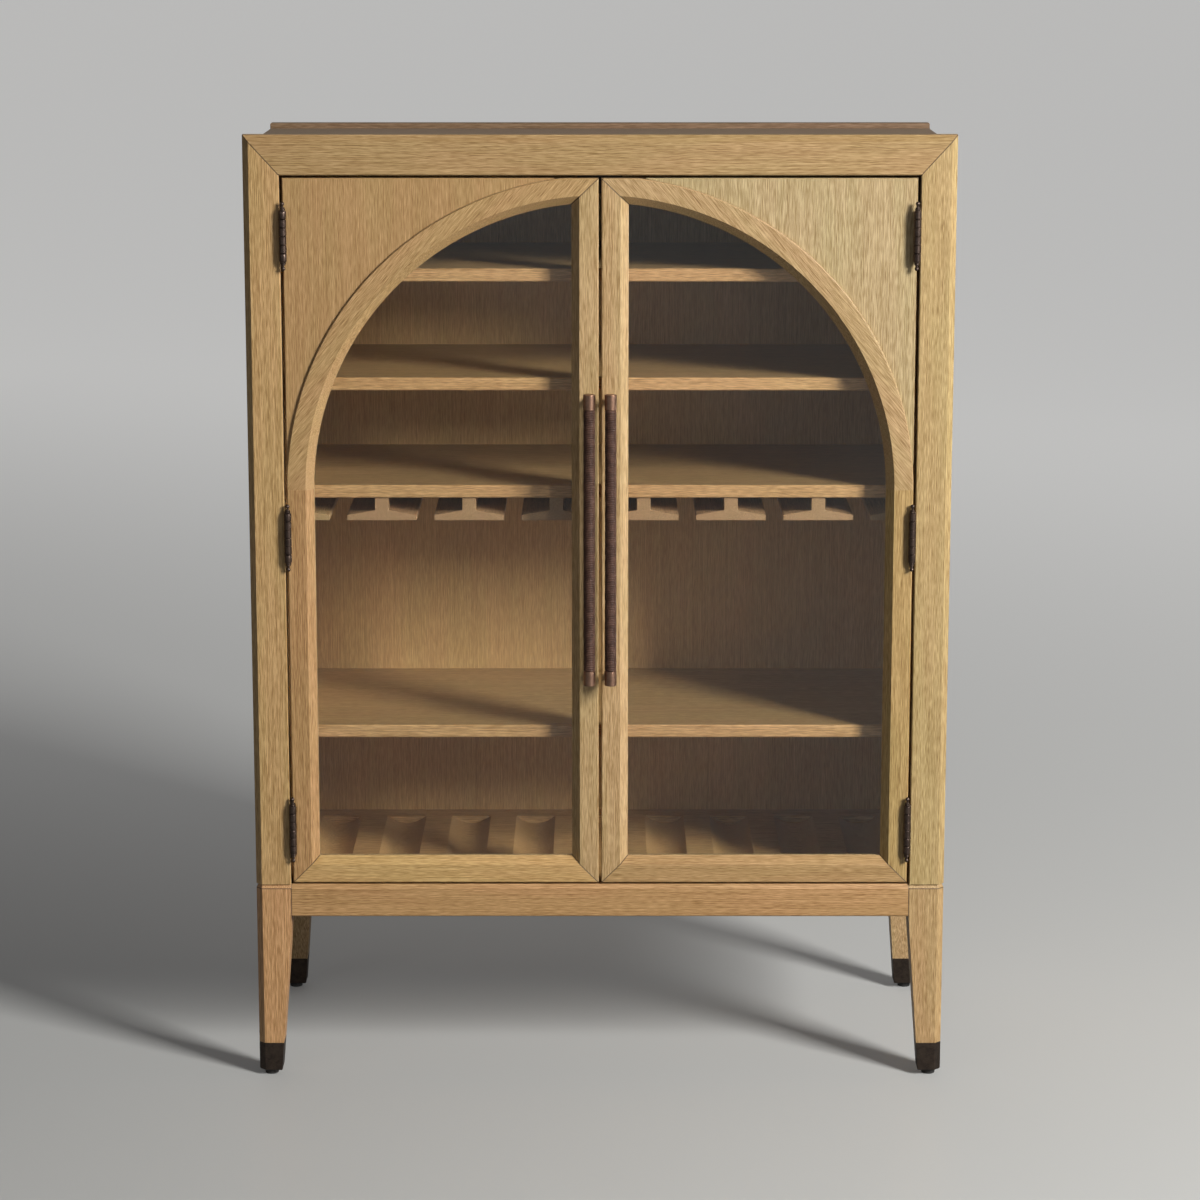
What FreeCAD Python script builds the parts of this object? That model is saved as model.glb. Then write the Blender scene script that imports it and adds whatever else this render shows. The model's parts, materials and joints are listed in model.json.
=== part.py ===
import FreeCAD, Part
import math
import os

# A free-standing oak bar cabinet with two arched glass doors.
# X runs to the right, Y to the back and Z up, in millimetres.
# The origin is on the floor, in the middle of the cabinet with its pulls.

V = FreeCAD.Vector

# Overall sizes
case_width = 1016.0
case_depth = 445.0
case_height = 1397.0
base_height = 296.0
pull_reach = 38.0

# Small sizes that all the woodwork shares
ease = 1.5
outer_chamfer = 9.0
fit = 0.3
touch = 0.001
overrun = 20.0

# Legs, ferrules and glides
leg_width = 52.0
leg_foot_width = 37.5
ferrule_height = 43.0
ferrule_wall = 2.5
ferrule_bevel = 1.5
glide_height = 8.0
glide_radius = 10.0
glide_bevel = 1.0

# Aprons
apron_height = 49.0
apron_thickness = 22.0
apron_lip = 14.0
base_chamfer_height = 6.5
base_chamfer_depth = 4.0

# Front frame and carcass
post_width = 52.0
rail_height = 57.0
frame_thickness = 25.0
crest_height = 18.5
top_thickness = 22.0
side_thickness = 18.0
side_reveal = 2.0
rear_post_depth = 45.0
back_thickness = 12.0
back_recess = 13.0
strip_height = 8.0
strip_thickness = 19.0

# Shelves. The two upper ones divide the space over the stemware shelf.
shelf_thickness = 19.0
shelf_setback = 45.0
bottle_bay = 212.5
upper_shelf_shares = (0.336, 0.673)
pin_radius = 2.5
pin_length = 19.0
pin_depth = 10.0
pin_setback = 50.0
pin_fit = 0.1

# Bottle cradle
cradle_thickness = 25.0
trough_count = 9
trough_margin = 48.0
trough_radius = 45.0
trough_depth = 12.0
trough_stop = 37.0

# Stemware rails
rail_count = 6
stem_slot = 25.4
web_width = 20.0
web_height = 19.0
flange_slope = 7.0
flange_edge = 8.0
stem_setback = 4.0

# Doors
door_thickness = 22.0
side_gap = 3.5
top_gap = 4.0
bottom_gap = 3.0
centre_gap = 4.0
stile_width = 39.0
bevel_width = 11.5
bevel_depth = 12.0
rebate_width = 8.0
glass_thickness = 4.0
glass_fit = 0.5
crown_cut = 3.3
spandrel_recess = 4.5
spandrel_tip = 1.2

# Hinges. The barrel is six equal rings high: the case leaf has the two end ones,
# and the door leaf has the four between them in one knuckle.
hinge_inset = 82.0
barrel_rings = 6
ring_pitch = 12.2
ring_groove = 0.5
knuckle_radius = 5.3
knuckle_gap = 0.3
barrel_offset = 3.05
pintle_radius = 2.4
pintle_fit = 0.06
leaf_thickness = 1.5
leaf_width = 21.0
collar_radius = 4.2
collar_height = 2.4
bead_radius = 3.6
bead_height = 2.3
finial_ease = 0.4
neck_height = 2.6
neck_radius = 1.9
ball_radius = 3.1
screw_radius = 1.6
screw_head_radius = 3.2
screw_length = 16.0
screw_tip = 3.0
screw_fit = 0.1
screws_per_leaf = 3
screw_spacing = 26.0

# Pulls
pull_length = 426.0
pull_radius = 8.7
pull_inset = 13.3
cap_length = 22.0
cap_bevel = 0.8
cap_ring_offset = 2.0
cap_ring_width = 0.8
core_radius = 6.0
pull_post_radius = 5.0
wrap_inset = 0.25
wrap_fit = 0.1
bolt_radius = 2.0
bolt_fit = 0.1
bolt_head_radius = 4.0
bolt_head_height = 2.5
bolt_grip = 9.0

# Door catch
catch_width = 64.0
catch_depth = 20.0
catch_drop = 28.0
strike_width = 24.0
strike_height = 16.0
strike_thickness = 1.5
strike_drop = 8.0

# Places worked out from the sizes
half_width = case_width / 2
y_face = (pull_reach - case_depth) / 2
y_back = y_face + case_depth
y_middle = y_face + case_depth / 2
opening_half = half_width - post_width
rail_bottom = case_height - rail_height
apron_bottom = base_height - apron_height
chamfer_start = base_height - base_chamfer_height
cradle_bottom = base_height - cradle_thickness
ferrule_top = glide_height + ferrule_height
top_of_case = case_height - crest_height
under_top = top_of_case - top_thickness
y_frame_back = y_face + frame_thickness
y_rear_post = y_back - rear_post_depth
y_back_panel = y_back - back_recess - back_thickness
y_strip = y_back - strip_thickness
y_shelf = y_face + shelf_setback

door_outer = opening_half - side_gap
door_inner = centre_gap / 2
door_bottom = base_height + bottom_gap
door_top = rail_bottom - top_gap
door_middle = (door_bottom + door_top) / 2
y_door_back = y_face + door_thickness
arch_height = door_top - (door_outer - crown_cut)
y_glass = y_face + bevel_depth
y_bead = y_glass + glass_thickness

trough_pitch = 2 * (opening_half - trough_margin) / (trough_count - 1)
stem_pitch = (2 * opening_half - web_width) / (rail_count + 1)

hinge_x = opening_half - side_gap / 2 - barrel_offset
hinge_y = y_face - knuckle_radius - knuckle_gap
hinge_length = barrel_rings * ring_pitch
hinge_heights = (door_bottom + hinge_inset, door_middle, door_top - hinge_inset)
screw_y = y_face + leaf_width / 2

pull_x = door_inner + pull_inset
pull_y = y_face - pull_reach + pull_radius
pull_post_heights = (
    door_middle - (pull_length - cap_length) / 2,
    door_middle + (pull_length - cap_length) / 2,
)


def box(x_from, x_to, y_from, y_to, z_from, z_to):
    return Part.makeBox(x_to - x_from, y_to - y_from, z_to - z_from, V(x_from, y_from, z_from))


def loop(points):
    return Part.makePolygon(list(points) + [points[0]])


def plate_xz(points, y_from, y_to):
    """A plate whose outline stands in the X-Z plane."""
    outline = loop([V(x, y_from, z) for x, z in points])
    return Part.Face(outline).extrude(V(0, y_to - y_from, 0))


def bar_along_x(points, x_from, x_to):
    """A bar whose section is given as (y, z) points."""
    outline = loop([V(x_from, y, z) for y, z in points])
    return Part.Face(outline).extrude(V(x_to - x_from, 0, 0))


def bar_along_y(points, y_from, y_to):
    """A bar whose section is given as (x, z) points."""
    return plate_xz(points, y_from, y_to)


def post_along_z(points, z_from, z_to):
    """A post whose section is given as (x, y) points."""
    outline = loop([V(x, y, z_from) for x, y in points])
    return Part.Face(outline).extrude(V(0, 0, z_to - z_from))


def rod(radius, start, end):
    run = end.sub(start)
    return Part.makeCylinder(radius, run.Length, start, run)


def turned(points, base, axis):
    """A solid turned about an axis from (radius, length) points that start and end on it."""
    side = V(0, 0, 1).cross(axis) if abs(axis.z) < touch else V(1, 0, 0)
    outline = loop([base + side * radius + axis * length for radius, length in points])
    return Part.Face(outline).revolve(base, axis, 360)


def across(shape):
    """The same piece on the left side of the cabinet."""
    return shape.mirror(V(0, 0, 0), V(1, 0, 0))


def to_back(shape):
    """The same piece at the back of the case."""
    return shape.mirror(V(0, y_middle, 0), V(0, 1, 0))


def eased(shape, size, on_edge):
    edges = [edge for edge in shape.Edges if on_edge(edge.BoundBox)]
    return shape.makeChamfer(size, edges)


def same(value, other):
    return abs(value - other) < touch


def front_edge(place):
    """Chooses the edges that lie in the plane y = place."""
    return lambda span: same(span.YMin, place) and same(span.YMax, place)


# Legs and base

def foot_outline(height, shrink, top_inset=0.0):
    """The front right leg's outline: the outer corner is upright and the inner faces taper."""
    slope = (leg_width - leg_foot_width) / (apron_bottom - ferrule_top)
    width = leg_width - slope * max(0.0, apron_bottom - height)
    cut = outer_chamfer + shrink * (math.sqrt(2) - 1)
    near = shrink + top_inset
    points = [
        (half_width - width + shrink, y_face + near),
        (half_width - cut, y_face + near),
        (half_width - near, y_face + cut),
        (half_width - near, y_face + width - shrink),
        (half_width - width + shrink, y_face + width - shrink),
    ]
    return loop([V(x, y, height) for x, y in points])


def leg():
    shaft = Part.makeLoft([
        foot_outline(ferrule_top, 0),
        foot_outline(apron_bottom, 0),
        foot_outline(chamfer_start, 0),
        foot_outline(base_height, 0, base_chamfer_depth),
    ], True, True)
    tenon = Part.makeLoft([
        foot_outline(glide_height + ferrule_wall + fit, ferrule_wall + fit),
        foot_outline(ferrule_top, ferrule_wall + fit),
    ], True, True)
    return shaft.fuse(tenon).removeSplitter()


def ferrule():
    cup = Part.makeLoft([
        foot_outline(glide_height, ferrule_bevel),
        foot_outline(glide_height + ferrule_bevel, 0),
        foot_outline(ferrule_top, 0),
    ], True, True)
    pocket = Part.makeLoft([
        foot_outline(glide_height + ferrule_wall, ferrule_wall),
        foot_outline(ferrule_top + touch, ferrule_wall),
    ], True, True)
    return cup.cut(pocket)


def glide():
    slope = (leg_width - leg_foot_width) / (apron_bottom - ferrule_top)
    middle = (leg_foot_width - slope * ferrule_height) / 2
    profile = [
        (0, 0),
        (glide_radius - glide_bevel, 0),
        (glide_radius, glide_bevel),
        (glide_radius, glide_height),
        (0, glide_height),
    ]
    return turned(profile, V(half_width - middle, y_face + middle, 0), V(0, 0, 1))


def four_corners(shape):
    return [shape, across(shape), to_back(shape), to_back(across(shape))]


def apron_section():
    """(distance in from the outer face, height), with the step that carries the cradle."""
    return [
        (ease, apron_bottom),
        (0, apron_bottom + ease),
        (0, chamfer_start),
        (base_chamfer_depth, base_height),
        (apron_lip, base_height),
        (apron_lip, cradle_bottom),
        (apron_thickness, cradle_bottom),
        (apron_thickness, apron_bottom),
    ]


def front_apron():
    reach = half_width - leg_width
    return bar_along_x([(y_face + inward, z) for inward, z in apron_section()], -reach, reach)


def side_apron():
    section = [(half_width - inward, z) for inward, z in apron_section()]
    return bar_along_y(section, y_face + leg_width, y_back - leg_width)


def bottle_cradle():
    reach = half_width - apron_lip
    notch = half_width - leg_width
    front = y_face + apron_lip
    front_notch = y_face + leg_width
    quarter = [(notch, front), (notch, front_notch), (reach, front_notch)]
    points = quarter + [(x, 2 * y_middle - y) for x, y in reversed(quarter)]
    points = points + [(-x, y) for x, y in reversed(points)]
    slab = post_along_z(points, cradle_bottom, base_height)
    axis_height = base_height - trough_depth + trough_radius
    first = -trough_pitch * (trough_count - 1) / 2
    for index in range(trough_count):
        x = first + index * trough_pitch
        start = V(x, y_shelf, axis_height)
        end = V(x, y_back_panel - trough_stop, axis_height)
        slab = slab.cut(rod(trough_radius, start, end))
    return slab


# Carcass

def mitre_point(overshoot):
    """A point on the corner mitre of the front frame, past its outer end."""
    slope = rail_height / post_width
    return (half_width + overshoot, case_height + overshoot * slope)


def front_post():
    post = post_along_z([
        (opening_half, y_face + ease),
        (opening_half + ease, y_face),
        (half_width - outer_chamfer, y_face),
        (half_width, y_face + outer_chamfer),
        (half_width, y_frame_back),
        (opening_half, y_frame_back),
    ], base_height, case_height)
    above = [mitre_point(-post_width - overrun), mitre_point(overrun)]
    above.append((above[0][0], above[1][1]))
    post = post.cut(plate_xz(above, y_face - overrun, y_frame_back + overrun))
    return drilled_for_hinges(post, opening_half - overrun, opening_half + screw_length)


def front_top_rail():
    slope = rail_height / post_width
    rail = bar_along_x([
        (y_face + ease, rail_bottom),
        (y_face, rail_bottom + ease * slope),
        (y_face, case_height - outer_chamfer * slope),
        (y_face + outer_chamfer, case_height),
        (y_frame_back, case_height),
        (y_frame_back, rail_bottom),
    ], -half_width, half_width)
    below = [mitre_point(-post_width - overrun), mitre_point(overrun)]
    below.append((below[1][0], below[0][1]))
    corner = plate_xz(below, y_face - overrun, y_frame_back + overrun)
    return rail.cut(corner).cut(across(corner))


def rear_post():
    return post_along_z([
        (opening_half, y_rear_post),
        (half_width, y_rear_post),
        (half_width, y_back - outer_chamfer),
        (half_width - outer_chamfer, y_back),
        (opening_half, y_back),
    ], base_height, under_top)


def side_panel():
    outside = half_width - side_reveal
    return box(outside - side_thickness, outside, y_frame_back, y_rear_post, base_height, under_top)


def side_lining():
    inside = opening_half + side_thickness
    lining = box(opening_half, inside, y_frame_back, y_rear_post, base_height, under_top)
    for y, z in pin_places():
        end = V(opening_half + pin_depth, y, z)
        lining = lining.cut(rod(pin_radius + pin_fit, V(opening_half - overrun, y, z), end))
    return lining


def top_panel():
    panel = box(-half_width, half_width, y_frame_back, y_strip, under_top, top_of_case)
    return eased(panel, ease, lambda span: same(span.XMin, span.XMax)
                 and same(abs(span.XMin), half_width) and same(span.ZMin, span.ZMax))


def back_strip():
    strip = box(-half_width, half_width, y_strip, y_back, under_top, top_of_case + strip_height)
    return eased(strip, ease, lambda span: same(span.ZMin, top_of_case + strip_height))


def back_panel():
    reach = opening_half - fit
    return box(-reach, reach, y_back_panel, y_back_panel + back_thickness, base_height, under_top)


def shelf_bottoms():
    """Undersides of the bottle bay, stemware, lower and upper shelves.

    The stemware shelf's top lines up with the spring of the arches.
    """
    space = under_top - arch_height
    tops = [arch_height] + [arch_height + share * space for share in upper_shelf_shares]
    return [base_height + bottle_bay] + [top - shelf_thickness for top in tops]


def shelf(bottom):
    reach = opening_half - fit
    board = box(-reach, reach, y_shelf, y_back_panel - fit, bottom, bottom + shelf_thickness)
    return eased(board, ease, lambda span: front_edge(y_shelf)(span) and same(span.ZMin, span.ZMax))


def pin_places():
    """(y, z) of the pins on one side wall. The stemware shelf hangs on its end rails instead."""
    places = []
    bottoms = shelf_bottoms()
    for bottom in (bottoms[0], bottoms[2], bottoms[3]):
        for y in (y_shelf + pin_setback, y_back_panel - pin_setback):
            places.append((y, bottom - pin_radius - pin_fit))
    return places


def shelf_pins():
    pins = []
    for y, z in pin_places():
        end = V(opening_half + pin_depth - fit, y, z)
        pin = rod(pin_radius, V(end.x - pin_length, y, z), end)
        pins += [pin, across(pin)]
    return pins


# Stemware rails

def stemware_side(reach):
    """Half of a rail's section: (distance from the web's middle, drop under the shelf)."""
    return [
        (web_width / 2, 0),
        (web_width / 2, web_height),
        (reach, web_height + flange_slope),
        (reach, web_height + flange_slope + flange_edge),
    ]


def stemware_rails():
    top = shelf_bottoms()[1]
    half_flange = (stem_pitch - stem_slot) / 2
    half = stemware_side(half_flange)
    rails = []
    for index in range(rail_count):
        middle = (index - (rail_count - 1) / 2) * stem_pitch
        points = [(middle + x, top - drop) for x, drop in half]
        points += [(middle - x, top - drop) for x, drop in reversed(half)]
        rails.append(bar_along_y(points, y_shelf + stem_setback, y_back_panel - fit))
    return rails


def stemware_end_rail():
    top = shelf_bottoms()[1]
    middle = (rail_count + 1) / 2 * stem_pitch
    half = stemware_side((stem_pitch - stem_slot) / 2)
    points = [(middle - x, top - drop) for x, drop in half]
    points += [(opening_half, points[-1][1]), (opening_half, top)]
    return bar_along_y(points, y_shelf + stem_setback, y_back_panel - fit)


# Doors

def sight(inset):
    """The right door's glass outline, grown outwards by an inset: corners and arc middle."""
    left = door_inner + stile_width - inset
    right = door_outer - stile_width + inset
    low = door_bottom + stile_width - inset
    top = arch_height + math.sqrt(right ** 2 - left ** 2)
    turn = (math.asin(left / right) + math.pi / 2) / 2
    middle = (right * math.sin(turn), arch_height + right * math.cos(turn))
    return {"low_inner": (left, low), "low_outer": (right, low), "spring": (right, arch_height),
            "arc_middle": middle, "top_inner": (left, top)}


def sight_outline(inset, y):
    corner = {name: V(x, y, z) for name, (x, z) in sight(inset).items()}
    return Part.Wire([
        Part.makeLine(corner["low_inner"], corner["low_outer"]),
        Part.makeLine(corner["low_outer"], corner["spring"]),
        Part.Arc(corner["spring"], corner["arc_middle"], corner["top_inner"]).toShape(),
        Part.makeLine(corner["top_inner"], corner["low_inner"]),
    ])


def sight_block(inset, y_from, y_to):
    return Part.Face(sight_outline(inset, y_from)).extrude(V(0, y_to - y_from, 0))


def door_regions():
    """Upright blocks that hold the centre stile, the bottom rail and the hinge stile."""
    inner = sight(0)
    low_inner, low_outer, spring, top_inner = (
        inner[name] for name in ("low_inner", "low_outer", "spring", "top_inner"))
    run = (door_inner - top_inner[0]) / (door_top - top_inner[1])
    top = door_top + overrun
    mitre_top = (top_inner[0] + run * (top - top_inner[1]), top)
    inner_low = (door_inner - overrun, door_bottom - overrun)
    outer_low = (door_outer + overrun, door_bottom - overrun)
    outlines = {
        "centre_stile": [inner_low, low_inner, top_inner, mitre_top, (inner_low[0], top)],
        "bottom_rail": [inner_low, outer_low, low_outer, low_inner],
        "hinge_stile": [outer_low, (outer_low[0], arch_height), spring, low_outer],
    }
    depth = (y_face - overrun, y_door_back + overrun)
    return {name: plate_xz(points, *depth) for name, points in outlines.items()}


def spandrel_block(clearance, y_from, y_to):
    """The corner above the arch, with its two thin tips cut off square."""
    radius = door_outer + clearance
    top = door_top - arch_height
    side_low = math.sqrt(radius ** 2 - (door_outer - spandrel_tip) ** 2)
    tip_x = math.sqrt(radius ** 2 - (top - spandrel_tip) ** 2)
    turn = math.pi / 4
    side_tip = V(door_outer - spandrel_tip, y_from, arch_height + side_low)
    top_tip = V(tip_x, y_from, door_top - spandrel_tip)
    middle = V(radius * math.sin(turn), y_from, arch_height + radius * math.cos(turn))
    corners = [top_tip, V(tip_x, y_from, door_top), V(door_outer, y_from, door_top),
               V(door_outer, y_from, side_tip.z), side_tip]
    edges = [Part.makeLine(a, b) for a, b in zip(corners, corners[1:])]
    edges.append(Part.Arc(side_tip, middle, top_tip).toShape())
    return Part.Face(Part.Wire(edges)).extrude(V(0, y_to - y_from, 0))


def drilled_for_hinges(shape, x_from, x_to):
    """A piece with the pilot holes that its hinge screws bite into."""
    for middle in hinge_heights:
        for height in screw_heights(middle):
            start = V(x_from, screw_y, height)
            end = V(x_to, screw_y, height)
            shape = shape.cut(rod(screw_radius + screw_fit, start, end))
    return shape


def door_frame():
    """The whole right door frame in one piece, before it is parted into its members."""
    frame = box(door_inner, door_outer, y_face, y_door_back, door_bottom, door_top)
    frame = eased(frame, ease, front_edge(y_face))
    slope = bevel_width / bevel_depth
    bevel = Part.makeLoft([
        sight_outline(bevel_width + slope * overrun / 2, y_face - overrun / 2),
        sight_outline(0, y_glass),
    ], True, True)
    through = sight_block(0, y_face - overrun, y_door_back + overrun)
    rebate = sight_block(rebate_width, y_glass, y_door_back + overrun)
    frame = frame.cut(bevel).cut(through).cut(rebate)
    frame = drilled_for_hinges(frame, door_outer - screw_length, door_outer + overrun)
    for height in pull_post_heights:
        start = V(pull_x, y_face - overrun, height)
        end = V(pull_x, y_door_back + overrun, height)
        frame = frame.cut(rod(bolt_radius + bolt_fit, start, end))
    return frame


def door_members():
    frame = door_frame()
    regions = door_regions()
    members = {name: frame.common(region) for name, region in regions.items()}
    corner = spandrel_block(0, y_face - overrun, y_door_back + overrun)
    arch = frame.cut(corner)
    for region in regions.values():
        arch = arch.cut(region)
    members["arch_rail"] = arch
    panel = spandrel_block(fit, y_face + spandrel_recess, y_door_back)
    panel = eased(panel, ease, lambda span: front_edge(y_face + spandrel_recess)(span)
                  and (same(span.XMin, door_outer) or same(span.ZMin, door_top)))
    panel = drilled_for_hinges(panel, door_outer - screw_length, door_outer + overrun)
    members["spandrel"] = panel
    return {name: single(member) for name, member in members.items()}


def single(shape):
    """The largest solid of a cut, without splinters."""
    return max(shape.Solids, key=lambda solid: solid.Volume)


def door_glass():
    return sight_block(rebate_width - glass_fit, y_glass, y_bead)


def glass_beads():
    ring = sight_block(rebate_width - fit, y_bead, y_door_back)
    ring = ring.cut(sight_block(0, y_bead - overrun, y_door_back + overrun))
    regions = door_regions()
    beads = [single(ring.common(region)) for region in regions.values()]
    arched = ring
    for region in regions.values():
        arched = arched.cut(region)
    beads.append(single(arched))
    return beads


# Hinges, built for the right door

def screw_heights(middle):
    first = middle - screw_spacing * (screws_per_leaf - 1) / 2
    return [first + index * screw_spacing for index in range(screws_per_leaf)]


def screw(x, height, way, clearance=0.0):
    """A countersunk screw whose head lies flush at x and whose shank points along way."""
    radius = screw_radius + clearance
    head = screw_head_radius + clearance
    points = [
        (0, 0),
        (head, 0),
        (radius, leaf_thickness),
        (radius, screw_length - screw_tip),
        (0, screw_length),
    ]
    return turned(points, V(x, screw_y, height), V(way, 0, 0))


def knuckle(low, start, end, first, past):
    """A round length of the barrel, with a groove wherever one ring meets the next."""
    inner = knuckle_radius - ring_groove
    points = [(0, start), (inner, start), (knuckle_radius, start + ring_groove)]
    for index in range(first + 1, past):
        groove = low + index * ring_pitch
        points += [(knuckle_radius, groove - ring_groove), (inner, groove),
                   (knuckle_radius, groove + ring_groove)]
    points += [(knuckle_radius, end - ring_groove), (inner, end), (0, end)]
    return turned(points, V(hinge_x, hinge_y, 0), V(0, 0, 1))


def hinge_leaf(middle, x_from, x_to, head_x, way, knuckles):
    """A leaf with its knuckles, each given as its first ring and the one past its last."""
    low = middle - hinge_length / 2
    leaf = box(x_from, x_to, y_face, y_face + leaf_width, low, low + hinge_length)
    for first, past in knuckles:
        start = low + first * ring_pitch + knuckle_gap / 2
        end = low + past * ring_pitch - knuckle_gap / 2
        leaf = leaf.fuse(knuckle(low, start, end, first, past))
        leaf = leaf.fuse(box(x_from, x_to, hinge_y, y_face, start, end))
    bore_start = V(hinge_x, hinge_y, low - overrun)
    bore_end = V(hinge_x, hinge_y, low + hinge_length + overrun)
    leaf = leaf.cut(rod(pintle_radius + pintle_fit, bore_start, bore_end))
    for height in screw_heights(middle):
        leaf = leaf.cut(screw(head_x, height, way, screw_fit))
    return leaf.removeSplitter()


def case_leaf(middle):
    inside = opening_half - leaf_thickness
    ends = ((0, 1), (barrel_rings - 1, barrel_rings))
    return hinge_leaf(middle, inside, opening_half, inside, 1, ends)


def door_leaf(middle):
    outside = door_outer + leaf_thickness
    return hinge_leaf(middle, door_outer, outside, outside, -1, ((1, barrel_rings - 1),))


def hinge_pin(middle):
    """The pin with a collar, a bead, a neck and a ball at each end."""
    half = hinge_length / 2
    collar_top = half + collar_height
    bead_top = collar_top + bead_height
    neck_top = bead_top + neck_height
    ball_middle = neck_top + math.sqrt(ball_radius ** 2 - neck_radius ** 2)
    finial = [
        (collar_radius, half),
        (collar_radius, collar_top - finial_ease),
        (bead_radius - finial_ease, collar_top),
        (bead_radius, collar_top + finial_ease),
        (bead_radius, bead_top - finial_ease),
        (bead_radius - finial_ease, bead_top),
        (neck_radius, bead_top),
        (neck_radius, neck_top),
    ]
    base = V(hinge_x, hinge_y, middle)
    up = V(0, 0, 1)
    upper = [(0, 0), (pintle_radius, 0), (pintle_radius, half)] + finial + [(0, neck_top)]
    shaft = turned(upper, base, up)
    ball = Part.makeSphere(ball_radius, base + up * ball_middle)
    upper_half = shaft.fuse(ball)
    lower_half = upper_half.mirror(base, up)
    return upper_half.fuse(lower_half).removeSplitter()


# Pulls, built for the right door

def pull():
    half = pull_length / 2
    ring_high = half - cap_length + cap_ring_offset + cap_ring_width
    ring_low = half - cap_length + cap_ring_offset
    base = V(pull_x, pull_y, door_middle)
    up = V(0, 0, 1)
    upper = turned([
        (0, 0),
        (core_radius, 0),
        (core_radius, half - cap_length),
        (pull_radius, half - cap_length),
        (pull_radius, ring_low),
        (pull_radius - cap_ring_width / 2, ring_low + cap_ring_width / 2),
        (pull_radius, ring_high),
        (pull_radius, half - cap_bevel),
        (pull_radius - cap_bevel, half),
        (0, half),
    ], base, up)
    bar = upper.fuse(upper.mirror(base, up))
    for height in pull_post_heights:
        bar = bar.fuse(rod(pull_post_radius, V(pull_x, pull_y, height), V(pull_x, y_face, height)))
        start = V(pull_x, y_face + overrun, height)
        end = V(pull_x, y_face - bolt_grip - fit, height)
        bar = bar.cut(rod(bolt_radius + bolt_fit, start, end))
    return bar.removeSplitter()


def pull_wrap():
    reach = pull_length / 2 - cap_length
    low = V(pull_x, pull_y, door_middle - reach)
    high = V(pull_x, pull_y, door_middle + reach)
    sleeve = rod(pull_radius - wrap_inset, low, high)
    return sleeve.cut(rod(core_radius + wrap_fit, low, high))


def pull_bolt(height):
    length = door_thickness + bolt_grip
    points = [
        (0, -bolt_head_height),
        (bolt_head_radius, -bolt_head_height),
        (bolt_head_radius, 0),
        (bolt_radius, 0),
        (bolt_radius, length),
        (0, length),
    ]
    return turned(points, V(pull_x, y_door_back, height), V(0, -1, 0))


# Catch

def door_catch():
    low = rail_bottom - catch_drop
    body = box(-catch_width / 2, catch_width / 2, y_frame_back, y_frame_back + catch_depth,
               low, under_top)
    body = eased(body, ease, lambda span: same(span.ZMax, low))
    y_magnet = y_door_back + strike_thickness + fit
    nose = box(-catch_width / 2 + ease, catch_width / 2 - ease, y_magnet, y_frame_back + ease,
               low + ease, low + ease + strike_height)
    return body.fuse(nose).removeSplitter()


def strike_plate():
    x_from = door_inner + ease
    z_to = door_top - strike_drop
    return box(x_from, x_from + strike_width, y_door_back, y_door_back + strike_thickness,
               z_to - strike_height, z_to)


def build():
    """Every node of the cabinet: name to list of solids."""
    nodes = {}

    def pair(name, *right):
        nodes["right_" + name] = list(right)
        nodes["left_" + name] = [across(piece) for piece in right]

    shaft = leg()
    pair("front_leg", shaft)
    pair("rear_leg", to_back(shaft))
    nodes["leg_ferrules"] = four_corners(ferrule())
    nodes["leg_glides"] = four_corners(glide())
    nodes["front_apron"] = [front_apron()]
    nodes["rear_apron"] = [to_back(front_apron())]
    pair("apron", side_apron())
    nodes["bottle_cradle"] = [bottle_cradle()]

    pair("front_post", front_post())
    nodes["front_top_rail"] = [front_top_rail()]
    pair("rear_post", rear_post())
    pair("side_panel", side_panel())
    pair("side_lining", side_lining())
    nodes["top_panel"] = [top_panel()]
    nodes["back_strip"] = [back_strip()]
    nodes["back_panel"] = [back_panel()]

    names = ("bottle_bay_shelf", "stemware_shelf", "lower_shelf", "upper_shelf")
    for name, bottom in zip(names, shelf_bottoms()):
        nodes[name] = [shelf(bottom)]
    nodes["shelf_pins"] = shelf_pins()
    nodes["stemware_rails"] = stemware_rails()
    end_rail = stemware_end_rail()
    nodes["stemware_end_rails"] = [end_rail, across(end_rail)]

    for name, member in door_members().items():
        pair(name, member)
    pair("door_glass", door_glass())
    pair("glass_beads", *glass_beads())
    pair("door_hinge_leaves", *[door_leaf(height) for height in hinge_heights])
    door_head = door_outer + leaf_thickness
    case_head = opening_half - leaf_thickness
    heights = [place for height in hinge_heights for place in screw_heights(height)]
    pair("door_hinge_screws", *[screw(door_head, height, -1) for height in heights])
    pair("pull", pull())
    pair("pull_wrap", pull_wrap())
    pair("pull_bolts", *[pull_bolt(height) for height in pull_post_heights])
    pair("strike_plate", strike_plate())

    right = {
        "case_hinge_leaves": [case_leaf(height) for height in hinge_heights],
        "case_hinge_screws": [screw(case_head, height, 1) for height in heights],
        "hinge_pins": [hinge_pin(height) for height in hinge_heights],
    }
    for name, pieces in right.items():
        nodes[name] = pieces + [across(piece) for piece in pieces]
    nodes["door_catch"] = [door_catch()]
    return nodes


os.makedirs("parts", exist_ok=True)
for node, solids in build().items():
    shape = solids[0] if len(solids) == 1 else Part.makeCompound(solids)
    shape.exportStep(os.path.join("parts", node + ".step"))
    bad = [index for index, solid in enumerate(solids) if not solid.isValid() or solid.Volume <= 0]
    print(node, len(solids), "solids", "NOT VALID" if bad else "")
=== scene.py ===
import json
import math

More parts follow.
